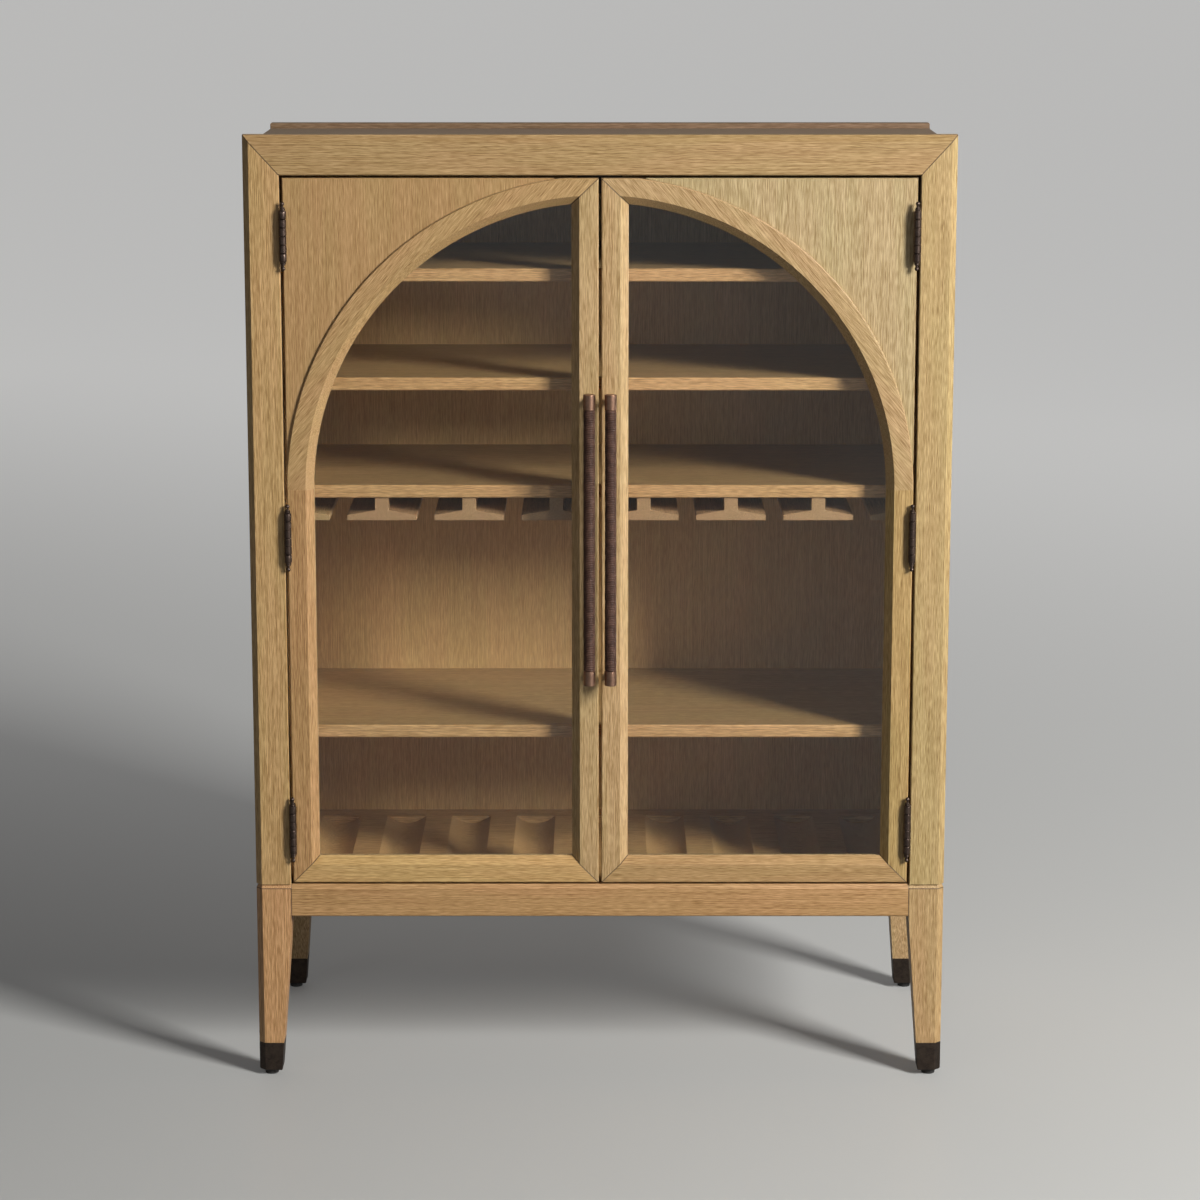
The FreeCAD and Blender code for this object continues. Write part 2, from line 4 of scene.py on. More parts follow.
import bmesh
import bpy
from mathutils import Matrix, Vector

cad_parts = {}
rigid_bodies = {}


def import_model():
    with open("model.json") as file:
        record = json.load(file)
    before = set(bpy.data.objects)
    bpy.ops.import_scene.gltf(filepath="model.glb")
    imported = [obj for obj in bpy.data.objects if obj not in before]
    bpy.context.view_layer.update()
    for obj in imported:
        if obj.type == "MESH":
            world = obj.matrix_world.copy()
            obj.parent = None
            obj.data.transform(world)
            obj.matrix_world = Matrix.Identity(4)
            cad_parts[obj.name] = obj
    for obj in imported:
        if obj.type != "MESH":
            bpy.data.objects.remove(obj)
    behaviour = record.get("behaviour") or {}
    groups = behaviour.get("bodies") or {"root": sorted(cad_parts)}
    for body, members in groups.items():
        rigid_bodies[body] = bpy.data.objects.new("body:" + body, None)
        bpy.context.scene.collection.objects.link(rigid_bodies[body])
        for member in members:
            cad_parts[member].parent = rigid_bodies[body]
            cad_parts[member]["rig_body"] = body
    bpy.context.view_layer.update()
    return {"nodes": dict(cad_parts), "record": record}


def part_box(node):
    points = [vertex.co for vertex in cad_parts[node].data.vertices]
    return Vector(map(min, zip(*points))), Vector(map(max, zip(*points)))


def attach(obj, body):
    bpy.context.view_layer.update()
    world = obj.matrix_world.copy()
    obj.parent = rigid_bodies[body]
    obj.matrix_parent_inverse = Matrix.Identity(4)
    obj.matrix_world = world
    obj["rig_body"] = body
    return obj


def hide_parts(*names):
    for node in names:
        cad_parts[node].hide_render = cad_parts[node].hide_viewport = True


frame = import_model()
nodes = frame["nodes"]
mm = 0.001
sides = (("right", 1), ("left", -1))
print("frame loaded:", len(nodes), "nodes")


def span(node):
    # a node's box in millimetres: (from, to) along X, Y and Z
    low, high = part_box(node)
    return [(first / mm, last / mm) for first, last in zip(low, high)]


# Node trees

class Value:  # one output socket, so that sums and products of sockets add their Math nodes
    def __init__(self, graph, socket):
        self.graph = graph
        self.socket = socket

    def __add__(self, other):
        return self.graph.maths("ADD", self, other)

    def __radd__(self, other):
        return self.graph.maths("ADD", other, self)

    def __sub__(self, other):
        return self.graph.maths("SUBTRACT", self, other)

    def __rsub__(self, other):
        return self.graph.maths("SUBTRACT", other, self)

    def __mul__(self, other):
        return self.graph.maths("MULTIPLY", self, other)

    def __rmul__(self, other):
        return self.graph.maths("MULTIPLY", other, self)

    def __abs__(self):
        return self.graph.maths("ABSOLUTE", self)


class Graph:  # a node tree and the one way to add a node to it
    def __init__(self, tree):
        self.tree = tree
        self.tree.nodes.clear()

    def node(self, kind, settings=None, inputs=None, output=0):
        made = self.tree.nodes.new(kind)
        for name, setting in (settings or {}).items():
            if name == "stops":
                self.setStops(made.color_ramp, setting)
            else:
                setattr(made, name, setting)
        for name, given in (inputs or {}).items():
            if isinstance(given, Value):
                self.tree.links.new(given.socket, made.inputs[name])
            else:
                made.inputs[name].default_value = given
        return Value(self, made.outputs[output])

    def maths(self, operation, first, second=0.0):
        return self.node("ShaderNodeMath", {"operation": operation}, {0: first, 1: second})

    def setStops(self, ramp, stops):
        while len(ramp.elements) < len(stops):
            ramp.elements.new(0.5)
        for element, (place, colour) in zip(ramp.elements, stops):
            element.position = place
            element.color = (*colour, 1.0)

    def close(self, value, kind, entry="Surface"):
        out = self.tree.nodes.new(kind)
        self.tree.links.new(value.socket, out.inputs[entry])


class Paint(Graph):  # a material's or the world's nodes
    def scaled(self, vector, factors):
        return self.node("ShaderNodeVectorMath", {"operation": "MULTIPLY"}, {0: vector, 1: factors})

    def moved(self, vector, offset):
        return self.node("ShaderNodeVectorMath", {"operation": "ADD"}, {0: vector, 1: offset})

    def dot(self, vector, direction):
        settings = {"operation": "DOT_PRODUCT"}
        return self.node("ShaderNodeVectorMath", settings, {0: vector, 1: direction}, "Value")

    def length(self, vector):
        return self.node("ShaderNodeVectorMath", {"operation": "LENGTH"}, {0: vector}, "Value")

    def objectSpot(self):
        # the place on the object in millimetres
        where = self.node("ShaderNodeTexCoord", None, None, "Object")
        return self.scaled(where, (1 / mm,) * 3)

    def noise(self, vector, cell, detail=2.0, roughness=0.5):
        # cell: how large the spots are along each axis
        inputs = {"Vector": self.scaled(vector, [1 / size for size in cell]), "Scale": 1.0,
                  "Detail": detail, "Roughness": roughness}
        return self.node("ShaderNodeTexNoise", None, inputs, "Fac")

    def band(self, value, low, high, fromLow=0.0, toHigh=1.0):
        # a smooth step from fromLow to toHigh as value goes from low to high
        inputs = {"Value": value, "From Min": low, "From Max": high, "To Min": fromLow, "To Max": toHigh}
        return self.node("ShaderNodeMapRange", {"interpolation_type": "SMOOTHSTEP"}, inputs)

    def mix(self, factor, first, second, blend="MIX"):
        settings = {"data_type": "RGBA", "blend_type": blend}
        return self.node("ShaderNodeMix", settings, {0: factor, 6: first, 7: second}, 2)

    def bump(self, height, strength, distance):
        inputs = {"Height": height, "Strength": strength, "Distance": distance}
        return self.node("ShaderNodeBump", None, inputs)

    def principled(self, inputs):
        return self.node("ShaderNodeBsdfPrincipled", None, inputs)

    def ray(self, name):
        return self.node("ShaderNodeLightPath", None, None, name)

    def anyLook(self):
        # 1 for the rays that see a thing, also through glass, then 1 for those that mirror it;
        # both are 0 for the rays that light another thing
        through = self.ray("Is Transmission Ray")
        seen = self.ray("Is Camera Ray") + through * self.maths("LESS_THAN", self.ray("Glossy Depth"), 0.5)
        return seen, (self.ray("Is Glossy Ray") + through) * (1 - seen)


def rgba(colour):
    return (*colour, 1.0)


def newPaint(name):
    material = bpy.data.materials.new(name)
    material.use_nodes = True
    return material, Paint(material.node_tree)


def closePaint(paint, shader):
    paint.close(shader, "ShaderNodeOutputMaterial")


# Camera, floor and light

camera = {
    "eye": (0.0, -5.0035, 1.725),
    "tiltDown": 10.75,
    "lens": 101.25,
    "sensor": 36.0,
    "shiftY": -0.05,
    "farthest": 400.0,      # metres
}
studio = {
    # lamps: degrees to the right of the viewer and over the horizon, metres and watts
    "key": {"azimuth": 47.0, "height": 24.0, "distance": 5.3, "size": (1.1, 2.2), "power": 425.0,
            "colour": (0.99, 0.99, 0.965)},
    "fill": {"azimuth": -42.0, "height": 13.0, "distance": 7.0, "size": (3.2, 3.2), "power": 24.0,
             "colour": (0.97, 0.985, 1.0)},
    "lampAim": (0.0, 0.0, 0.8),
    "frontFill": (0.044, 0.045, 0.048),     # what the room in front gives to matt surfaces
    "backFill": (0.70, 0.70, 0.70),         # and the room behind
    "behindReach": (-0.30, 0.60),           # how far back a direction points, from the one to the other
    "levelReach": (0.10, 0.75, 1.0, 0.12),  # how far up or down it points, and the back's share there
    "mirroredLeft": (0.13, 0.13, 0.128),    # what metal and glass see of the room on either side
    "mirroredRight": (0.62, 0.62, 0.61),
    "mirroredAcross": (0.83, -0.56, 0),
    "mirroredReach": (-0.35, 0.95),
    "wall": (0.58, 0.575, 0.56),
    "floorSeen": (0.50, 0.497, 0.487),
    "floorGlow": (0.40, 0.398, 0.392),      # the lit backdrop, for looks at it and through glass
    # the glow grows towards the back, and a little towards the right: painted light, as from the lamp on the
    # right
    "glowAcross": (0.40, 0.92, 0),
    "glowReach": (-1.5, 6.5),               # metres
    "glowAround": (1.5, 8.0),               # metres from the cabinet, on every side
    "floorMirrored": (0.24, 0.24, 0.235),
    "floorSheen": (0.21, 0.21, 0.208),      # the far floor, as glass mirrors it
    "sheenAcross": (3.5, -1.0, 0),
    "sheenReach": (5.0, 12.5),
    "floorBounce": (0.17, 0.168, 0.16),
    "floorRoughness": 0.42,
    "floorSpecular": 0.2,
    "floorSize": 300.0,
}


def setCamera():
    made = bpy.data.objects.new("camera", bpy.data.cameras.new("camera"))
    made.data.lens = camera["lens"]
    made.data.sensor_width = camera["sensor"]
    made.data.shift_y = camera["shiftY"]
    made.data.clip_end = camera["farthest"]
    made.location = camera["eye"]
    made.rotation_euler = (math.radians(90 - camera["tiltDown"]), 0, 0)
    bpy.context.scene.collection.objects.link(made)
    bpy.context.scene.camera = made


def setRoom():
    world = bpy.data.worlds.new("room")
    world.use_nodes = True
    bpy.context.scene.world = world
    paint = Paint(world.node_tree)
    towards = paint.node("ShaderNodeTexCoord", None, None, "Generated")
    behind = paint.band(paint.dot(towards, (0, 1, 0)), *studio["behindReach"])
    level = paint.band(abs(paint.dot(towards, (0, 0, 1))), *studio["levelReach"])
    fill = paint.mix(behind * level, rgba(studio["frontFill"]), rgba(studio["backFill"]))
    seen, mirrored = paint.anyLook()
    rightwards = paint.band(paint.dot(towards, studio["mirroredAcross"]), *studio["mirroredReach"])
    mirroredRoom = paint.mix(rightwards, rgba(studio["mirroredLeft"]), rgba(studio["mirroredRight"]))
    colour = paint.mix(mirrored, fill, mirroredRoom)
    colour = paint.mix(seen, colour, rgba(studio["wall"]))
    paint.close(paint.node("ShaderNodeBackground", None, {"Color": colour}), "ShaderNodeOutputWorld")


def setFloor():
    material, paint = newPaint("floorFinish")
    seen, mirrored = paint.anyLook()
    colour = paint.mix(mirrored, rgba(studio["floorBounce"]), rgba(studio["floorMirrored"]))
    colour = paint.mix(seen, colour, rgba(studio["floorSeen"]))
    where = paint.node("ShaderNodeTexCoord", None, None, "Object")
    # the floor's glow: a pale backdrop far behind, with painted light brighter to the right
    glow = paint.band(paint.dot(where, studio["glowAcross"]), *studio["glowReach"])
    glow = paint.maths("MAXIMUM", glow, paint.band(paint.length(where), *studio["glowAround"]))
    glow = paint.mix(seen * glow, (0, 0, 0, 1), rgba(studio["floorGlow"]))
    sheen = paint.band(paint.dot(where, studio["sheenAcross"]), *studio["sheenReach"])
    glow = paint.mix(mirrored * sheen, glow, rgba(studio["floorSheen"]))
    closePaint(paint, paint.principled({
        "Base Color": colour, "Roughness": studio["floorRoughness"],
        "Specular IOR Level": studio["floorSpecular"],
        "Emission Color": glow, "Emission Strength": 1.0,
    }))
    reach = studio["floorSize"] / 2
    mesh = bpy.data.meshes.new("floor")
    mesh.from_pydata([(-reach, -reach, 0), (reach, -reach, 0), (reach, reach, 0), (-reach, reach, 0)],
                     [], [(0, 1, 2, 3)])
    mesh.materials.append(material)
    floor = bpy.data.objects.new("floor", mesh)
    bpy.context.scene.collection.objects.link(floor)


def setLamp(name):
    lamp = bpy.data.objects.new(name, bpy.data.lights.new(name, "AREA"))
    azimuth, height, distance, size, power, colour = (studio[name][key] for key in (
        "azimuth", "height", "distance", "size", "power", "colour"))
    lamp.data.shape = "RECTANGLE"
    lamp.data.size, lamp.data.size_y = size
    lamp.data.energy = power
    lamp.data.color = colour
    lamp.visible_camera = False
    turn, rise = math.radians(azimuth), math.radians(height)
    towards = Vector((math.sin(turn) * math.cos(rise), -math.cos(turn) * math.cos(rise), math.sin(rise)))
    lamp.location = Vector(studio["lampAim"]) + towards * distance
    lamp.rotation_mode = "QUATERNION"
    lamp.rotation_quaternion = towards.to_track_quat("Z", "Y")
    bpy.context.scene.collection.objects.link(lamp)


setCamera()
setRoom()
setFloor()
setLamp("key")
setLamp("fill")
bpy.context.scene.view_settings.view_transform = "Standard"
print("camera and studio set")


# Making meshes

arris = {"wood": 0.5, "sharpAngle": 24.0, "weld": 0.002, "flat": 0.05}


def placed(name, mesh):
    made = bpy.data.objects.new(name, mesh)
    bpy.context.scene.collection.objects.link(made)
    return made


def finished(work, name, weld=0.0005):
    # the object of a bmesh: doubles merged, faces turned outwards
    bmesh.ops.remove_doubles(work, verts=work.verts, dist=weld * mm)
    bmesh.ops.recalc_face_normals(work, faces=work.faces)
    mesh = bpy.data.meshes.new(name)
    work.to_mesh(mesh)
    work.free()
    return placed(name, mesh)


def cleaned(node):
    # a CAD node's mesh with its triangles joined into flat faces
    source = nodes[node].data
    work = bmesh.new()
    corners = [work.verts.new(vertex.co) for vertex in source.vertices]
    for polygon in source.polygons:
        work.faces.new([corners[index] for index in polygon.vertices])
    bmesh.ops.remove_doubles(work, verts=work.verts, dist=arris["weld"] * mm)
    bmesh.ops.dissolve_limit(work, angle_limit=math.radians(arris["flat"]), verts=work.verts,
                             edges=work.edges)
    mesh = bpy.data.meshes.new(node)
    work.to_mesh(mesh)
    work.free()
    return mesh


def plain(piece):
    # the piece with its modifiers applied
    graph = bpy.context.evaluated_depsgraph_get()
    mesh = bpy.data.meshes.new_from_object(piece.evaluated_get(graph))
    piece.modifiers.clear()
    piece.data = mesh
    return piece


def softened(piece, width, segments=2):
    bevel = piece.modifiers.new("arris", "BEVEL")
    bevel.width = width * mm
    bevel.segments = segments
    bevel.limit_method = "ANGLE"
    bevel.angle_limit = math.radians(arris["sharpAngle"])
    bevel.miter_outer = "MITER_ARC"
    bevel.use_clamp_overlap = True
    for polygon in piece.data.polygons:
        polygon.use_smooth = True
    piece.modifiers.new("even", "WEIGHTED_NORMAL").keep_sharp = True
    return plain(piece)


def heldIn(piece, node):
    # nothing of the piece reaches past its CAD node's own box
    low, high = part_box(node)
    for vertex in piece.data.vertices:
        vertex.co = [min(max(value, least), most) for value, least, most in zip(vertex.co, low, high)]
    return piece


def joined(piece, other, operation):
    # the piece with another solid added to it or cut from it, exactly
    cut = piece.modifiers.new("join", "BOOLEAN")
    cut.operation = operation
    cut.solver = "EXACT"
    cut.object = other
    plain(piece)
    bpy.data.objects.remove(other)
    return piece


def addTurned(work, profile, base, axis, segments):
    # a surface turned about an axis, from (radius, length) points in mm
    side = axis.orthogonal().normalized()
    other = axis.cross(side)
    rings = []
    for radius, length in profile:
        centre = base + axis * length
        ring = []
        for index in range(segments if radius else 1):
            turn = math.tau * index / segments
            outwards = side * math.cos(turn) + other * math.sin(turn)
            ring.append(work.verts.new((centre + outwards * radius) * mm))
        rings.append(ring)
    for first, second in zip(rings, rings[1:]):
        for index in range(segments):
            after = (index + 1) % segments
            loop = [first[index % len(first)], first[after % len(first)],
                    second[after % len(second)], second[index % len(second)]]
            corners = list(dict.fromkeys(loop))
            if len(corners) > 2:
                work.faces.new(corners)
    return rings[-1]


def addRings(work, rings):
    # closed rings of points in mm, joined one to the next and capped at both ends
    loops = [[work.verts.new(Vector(point) * mm) for point in ring] for ring in rings]
    for first, second in zip(loops, loops[1:]):
        for index in range(len(first)):
            after = (index + 1) % len(first)
            work.faces.new((first[index], first[after], second[after], second[index]))
    work.faces.new(loops[0])
    work.faces.new(loops[-1])


def turned(name, profile, base, axis, segments):
    work = bmesh.new()
    addTurned(work, profile, base, axis, segments)
    return finished(work, name)


def ringed(name, rings):
    work = bmesh.new()
    addRings(work, rings)
    return finished(work, name)


def boxed(name, xs, ys, zs):
    outline = ((0, 0), (1, 0), (1, 1), (0, 1))
    return ringed(name, [[(xs[i], ys[j], z) for i, j in outline] for z in zs])


def bodyOf(node):
    return nodes[node]["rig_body"]


def dressed(piece, material, slot, *replaced):
    # the piece in its finish, on the body of the nodes that it stands for
    piece.data.materials.clear()
    piece.data.materials.append(material)
    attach(piece, bodyOf(replaced[0]))
    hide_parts(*replaced)
    return piece


def softCopy(node, name, material, slot, width=0.5, segments=2):
    piece = heldIn(softened(placed(name, cleaned(node)), width, segments), node)
    return dressed(piece, material, slot, node)


# Geometry Nodes trees for what repeats

def newTree(name, inputs):
    group = bpy.data.node_groups.new(name, "GeometryNodeTree")
    group.interface.new_socket("Geometry", in_out="INPUT", socket_type="NodeSocketGeometry")
    group.interface.new_socket("Geometry", in_out="OUTPUT", socket_type="NodeSocketGeometry")
    for label, kind in inputs:
        group.interface.new_socket(label, in_out="INPUT", socket_type=kind)
    graph = Graph(group)
    return graph, graph.tree.nodes.new("NodeGroupInput")


def closeTree(graph, geometry, material):
    real = graph.node("GeometryNodeRealizeInstances", None, {"Geometry": geometry})
    coloured = graph.node("GeometryNodeSetMaterial", None, {"Geometry": real, "Material": material})
    graph.close(coloured, "NodeGroupOutput", "Geometry")
    return graph.tree


def rowTree():
    # copies of the piece in a row, and that row again in steps
    graph, given = newTree("rowOfPieces", (
        ("Count", "NodeSocketInt"), ("Step", "NodeSocketVector"), ("Rows", "NodeSocketInt"),
        ("Row Step", "NodeSocketVector"), ("Material", "NodeSocketMaterial")))
    value = {socket.name: Value(graph, socket) for socket in given.outputs}
    geometry = value["Geometry"]
    for count, step in (("Count", "Step"), ("Rows", "Row Step")):
        places = graph.node("GeometryNodeMeshLine", {"mode": "OFFSET"},
                            {"Count": value[count], "Offset": value[step]})
        geometry = graph.node("GeometryNodeInstanceOnPoints", None,
                              {"Points": places, "Instance": geometry})
    return closeTree(graph, geometry, value["Material"])


def laceTree():
    # a flat lace wound round an upright bar, over the piece that it is given
    graph, given = newTree("woundLace", (
        ("Base", "NodeSocketVector"), ("Radius", "NodeSocketFloat"), ("Height", "NodeSocketFloat"),
        ("Turns", "NodeSocketFloat"), ("Steps", "NodeSocketInt"), ("Section", "NodeSocketVector"),
        ("Material", "NodeSocketMaterial")))
    value = {socket.name: Value(graph, socket) for socket in given.outputs}
    helix = graph.node("GeometryNodeCurveSpiral", None, {
        "Resolution": value["Steps"], "Rotations": value["Turns"], "Start Radius": value["Radius"],
        "End Radius": value["Radius"], "Height": value["Height"]})
    helix = graph.node("GeometryNodeSetCurveNormal", {"mode": "Z_UP"}, {"Curve": helix})
    circle = graph.node("GeometryNodeCurvePrimitiveCircle", None, {"Resolution": 8, "Radius": 1.0})
    section = graph.node("GeometryNodeTransform", None, {"Geometry": circle, "Scale": value["Section"]})
    lace = graph.node("GeometryNodeCurveToMesh", None,
                      {"Curve": helix, "Profile Curve": section, "Fill Caps": True})
    lace = graph.node("GeometryNodeTransform", None, {"Geometry": lace, "Translation": value["Base"]})
    both = graph.node("GeometryNodeJoinGeometry", None, {"Geometry": lace})
    graph.tree.links.new(value["Geometry"].socket, both.socket.node.inputs["Geometry"])
    return closeTree(graph, both, value["Material"])


rowOfPieces = rowTree()
woundLace = laceTree()


def repeated(piece, tree, values):
    modifier = piece.modifiers.new("repeat", "NODES")
    modifier.node_group = tree
    for item in tree.interface.items_tree:
        if item.in_out == "INPUT" and item.name in values:
            modifier[item.identifier] = values[item.name]
    return plain(piece)


def inRows(piece, material, count=1, step=(0, 0, 0), rows=1, rowStep=(0, 0, 0)):
    # steps in mm
    return repeated(piece, rowOfPieces, {
        "Count": count, "Step": tuple(part * mm for part in step),
        "Rows": rows, "Row Step": tuple(part * mm for part in rowStep), "Material": material})


print("trees made")


# Oak

oak = {
    "stops": [                          # from the darkest pore to the palest wood
        (0.00, (0.188, 0.099, 0.026)),
        (0.14, (0.235, 0.132, 0.044)),
        (0.32, (0.305, 0.185, 0.073)),
        (0.50, (0.387, 0.248, 0.112)),
        (0.64, (0.458, 0.304, 0.149)),
        (0.78, (0.536, 0.367, 0.192)),
        (0.92, (0.610, 0.427, 0.234)),
    ],
    "rosy": (1.018, 0.985, 0.985),
    "golden": (0.992, 1.003, 0.975),
    # the dark of the joint lines, also used for the painted shade in the gap round each door
    "seam": (0.070, 0.034, 0.016),
    "seamWidth": (0.25, 1.05),         # mm from the joint: where the dark line starts to fade, and its end
    "seamStrength": 0.88,
    "seamDepth": 2.0,
    "seedStep": (771.0, 53.0, 29.0),   # mm from one board's wood to the next one's
    "ringSpacing": 5.2,
    "wander": 15.0,                    # mm that a ring strays from a true circle
    "wanderCell": (480, 70, 70),
    "earlyWood": (0.15, 0.20, 0.75),   # shares of a ring at which its porous wood is full, fades and ends
    # length and width of each mark in mm, the noise from which it starts and is full, its strength
    "fibres": ((17, 0.46), (0.34, 0.66), 0.60),
    "lines": ((130, 0.50), (0.34, 0.66), 0.42),
    "dashes": ((12, 0.70), (0.50, 0.68), 0.09),
    "streaks": ((140, 5.0), (0.30, 0.70), 0.010),
    "clouds": ((260, 40), (0.36, 0.62), 0.025),
    "fineMiddle": 0.50,                # what fibres and lines come to on average
    "plain": 0.60,                     # the place among the stops of wood with no mark
    "earlyShade": 0.012,
    "lateDashes": 0.4,                 # share of a dash that is left outside the porous wood
    "dashDepth": 3.0,
    "roughness": 0.46,
    "dashRoughness": 0.5,
    "lacquer": 0.45,
    "lacquerRoughness": 0.40,
    "ior": 1.45,
    "bump": 0.5,
    "relief": 0.00007,
    "lipDepth": 2.5,
    "lipFade": 0.3,
    "gapShadeSide": (0.35, 0.7),          # mm past the edge where the painted shade in the gap by a door starts to fade, and ends
    "gapShadeFront": (1.6, 2.4),          # mm behind the face where it starts, and is full
    "gapShadeBack": (0.0, 0.8),           # mm behind the door's back where it starts to fade, and ends
    "gapShadeStrength": 0.9,
}
grainTurns = {
    "x": ((1, 0, 0), (0, 0, 1), (0, -1, 0)),
    "y": ((0, 1, 0), (1, 0, 0), (0, 0, 1)),
    "z": ((0, 0, 1), (1, 0, 0), (0, 1, 0)),
}


def slantedGrain(degrees):
    # grain that lies in the face of a door, turned up from +X
    turn = math.radians(degrees)
    along = (math.cos(turn), 0, math.sin(turn))
    across = (-math.sin(turn), 0, math.cos(turn))
    return along, across, (0, -1, 0)


def seamMask(paint, spot, seams):
    # 1 along each joint line: a line runs between two (x, z) points in mm
    mask = 0.0
    for first, last in seams:
        run = Vector(last) - Vector(first)
        length = run.length
        run.normalize()
        across = (-run.y, 0.0, run.x)
        off = abs(paint.dot(spot, across) - (run.x * first[1] - run.y * first[0]))
        along = abs(paint.dot(spot, (run.x, 0.0, run.y)) - (run.dot(Vector(first)) + length / 2))
        line = paint.band(off, *oak["seamWidth"], 1.0, 0.0)
        mask = mask + line * paint.band(along, length / 2, length / 2 + 1, 1.0, 0.0)
    return mask


def oakFinish(name, board):
    # solid oak: rings about a pith that lies beside the board, so that faces, edges and ends agree
    material, paint = newPaint(name)
    grain = board["grain"]
    axes = grainTurns[grain] if grain in grainTurns else slantedGrain(grain)
    spot = paint.objectSpot()
    alongStep, acrossStep, deepStep = (board["seed"] * step for step in oak["seedStep"])
    along, across, deep = (paint.dot(spot, axis) for axis in axes)
    inGrain = paint.node("ShaderNodeCombineXYZ", None, {0: along + alongStep, 1: across, 2: deep})
    shifted = paint.moved(inGrain, (0, acrossStep, deepStep))

    def marks(kind):
        (length, width), reach, strength = oak[kind]
        return paint.band(paint.noise(shifted, (length, width, width), 1.0), *reach) * strength

    # rings of early wood
    pith = board["pith"]
    fromPith = paint.node("ShaderNodeCombineXYZ", None, {1: across - pith[0], 2: deep - pith[1]})
    stray = (paint.noise(shifted, oak["wanderCell"], 1.0) - 0.5) * oak["wander"]
    phase = paint.maths("FRACT", (paint.length(fromPith) + stray) * (1 / oak["ringSpacing"]))
    full, fades, ends = oak["earlyWood"]
    early = paint.band(phase, 0.0, full) * paint.band(phase, fades, ends, 1.0, 0.0)

    (cloudLength, cloudWidth), cloudReach, cloudStrength = oak["clouds"]
    clouds = paint.noise(shifted, (cloudLength, cloudWidth, cloudWidth))
    dashes = marks("dashes")
    late = oak["lateDashes"]
    fine = (marks("fibres") + marks("lines") - oak["fineMiddle"]) * board.get("figure", 1.0)
    shade = oak["plain"] - dashes * (early * (1 - late) + late) - fine - early * oak["earlyShade"]
    shade = shade - marks("streaks") + (clouds - 0.5) * cloudStrength
    colour = paint.node("ShaderNodeValToRGB", {"stops": oak["stops"]}, {"Fac": shade})
    tint = paint.mix(paint.band(clouds, *cloudReach), rgba(oak["golden"]), rgba(oak["rosy"]))
    colour = paint.mix(1.0, colour, tint, "MULTIPLY")
    tone = rgba(board.get("tone", (1.0, 1.0, 1.0)))
    # a shelf's front edge painted paler than its top: painted light on the front edge, painted shade on the
    # top
    if board.get("lip"):
        edge = span("upper_shelf")[1][0] + oak["lipDepth"]
        inside = paint.band(paint.dot(spot, (0, 1, 0)), edge - oak["lipFade"], edge + oak["lipFade"])
        tone = paint.mix(inside, rgba(board["lip"]), tone)
    colour = paint.mix(1.0, colour, tone, "MULTIPLY")
    height = dashes * -oak["dashDepth"]
    if board.get("gapShade"):
        # painted shade: darkened where the door's edge comes to lie, for the shade deep in the gap round the
        # door
        axis, edge = board["gapShade"]
        depth = paint.dot(spot, (0, 1, 0))
        beside = paint.band(paint.dot(spot, axis) - edge, *oak["gapShadeSide"], 1.0, 0.0)
        within = paint.band(depth - faceFront, *oak["gapShadeFront"])
        within = within * paint.band(depth - faceBack, *oak["gapShadeBack"], 1.0, 0.0)
        colour = paint.mix(beside * within * oak["gapShadeStrength"], colour, rgba(oak["seam"]))
    if board.get("seams"):
        seam = seamMask(paint, spot, board["seams"])
        colour = paint.mix(seam * oak["seamStrength"], colour, rgba(oak["seam"]))
        height = height - seam * oak["seamDepth"]
    closePaint(paint, paint.principled({
        "Base Color": colour, "Roughness": oak["roughness"] + dashes * oak["dashRoughness"],
        "IOR": oak["ior"], "Normal": paint.bump(height, oak["bump"], oak["relief"]),
        "Coat Weight": oak["lacquer"], "Coat Roughness": oak["lacquerRoughness"],
    }))
    return material


# Case and base: each member is its CAD solid with softened arrises

caseHalf = span("front_apron")[0][1]               # where the legs and the aprons meet
opening = span("right_front_post")[0][0]
outside = span("right_front_post")[0][1]
baseTop = span("right_front_post")[2][0]
railLow = span("front_top_rail")[2][0]
faceFront, faceBack = span("right_centre_stile")[1]
caseTop = span("front_top_rail")[2][1]
chamfer = 6.5                      # height of the base's sloping top edge
legTop = baseTop - chamfer
legSeams = [((opening, legTop), (outside, legTop)), ((caseHalf, 0), (caseHalf, legTop))]
cornerSeams = [((opening, railLow), (outside, caseTop))]
inner = (1.05, 0.985, 0.95)        # the boards inside are a little rosier
# the shelves painted darker than the case: painted shade on their tops
shelfShade = (0.88, 0.80, 0.69)
lip = (1.30, 1.08, 0.95)           # and the shelves' front edges paler: painted light on the front edges, painted shade on the tops
topShade = (0.52, 0.51, 0.63)          # the top painted darker and greyer: painted shade, with the lacquer's grey reflection at a grazing look painted in
rim = (0.39, 0.355, 0.39)          # and the strip at its back painted darker still: painted shade
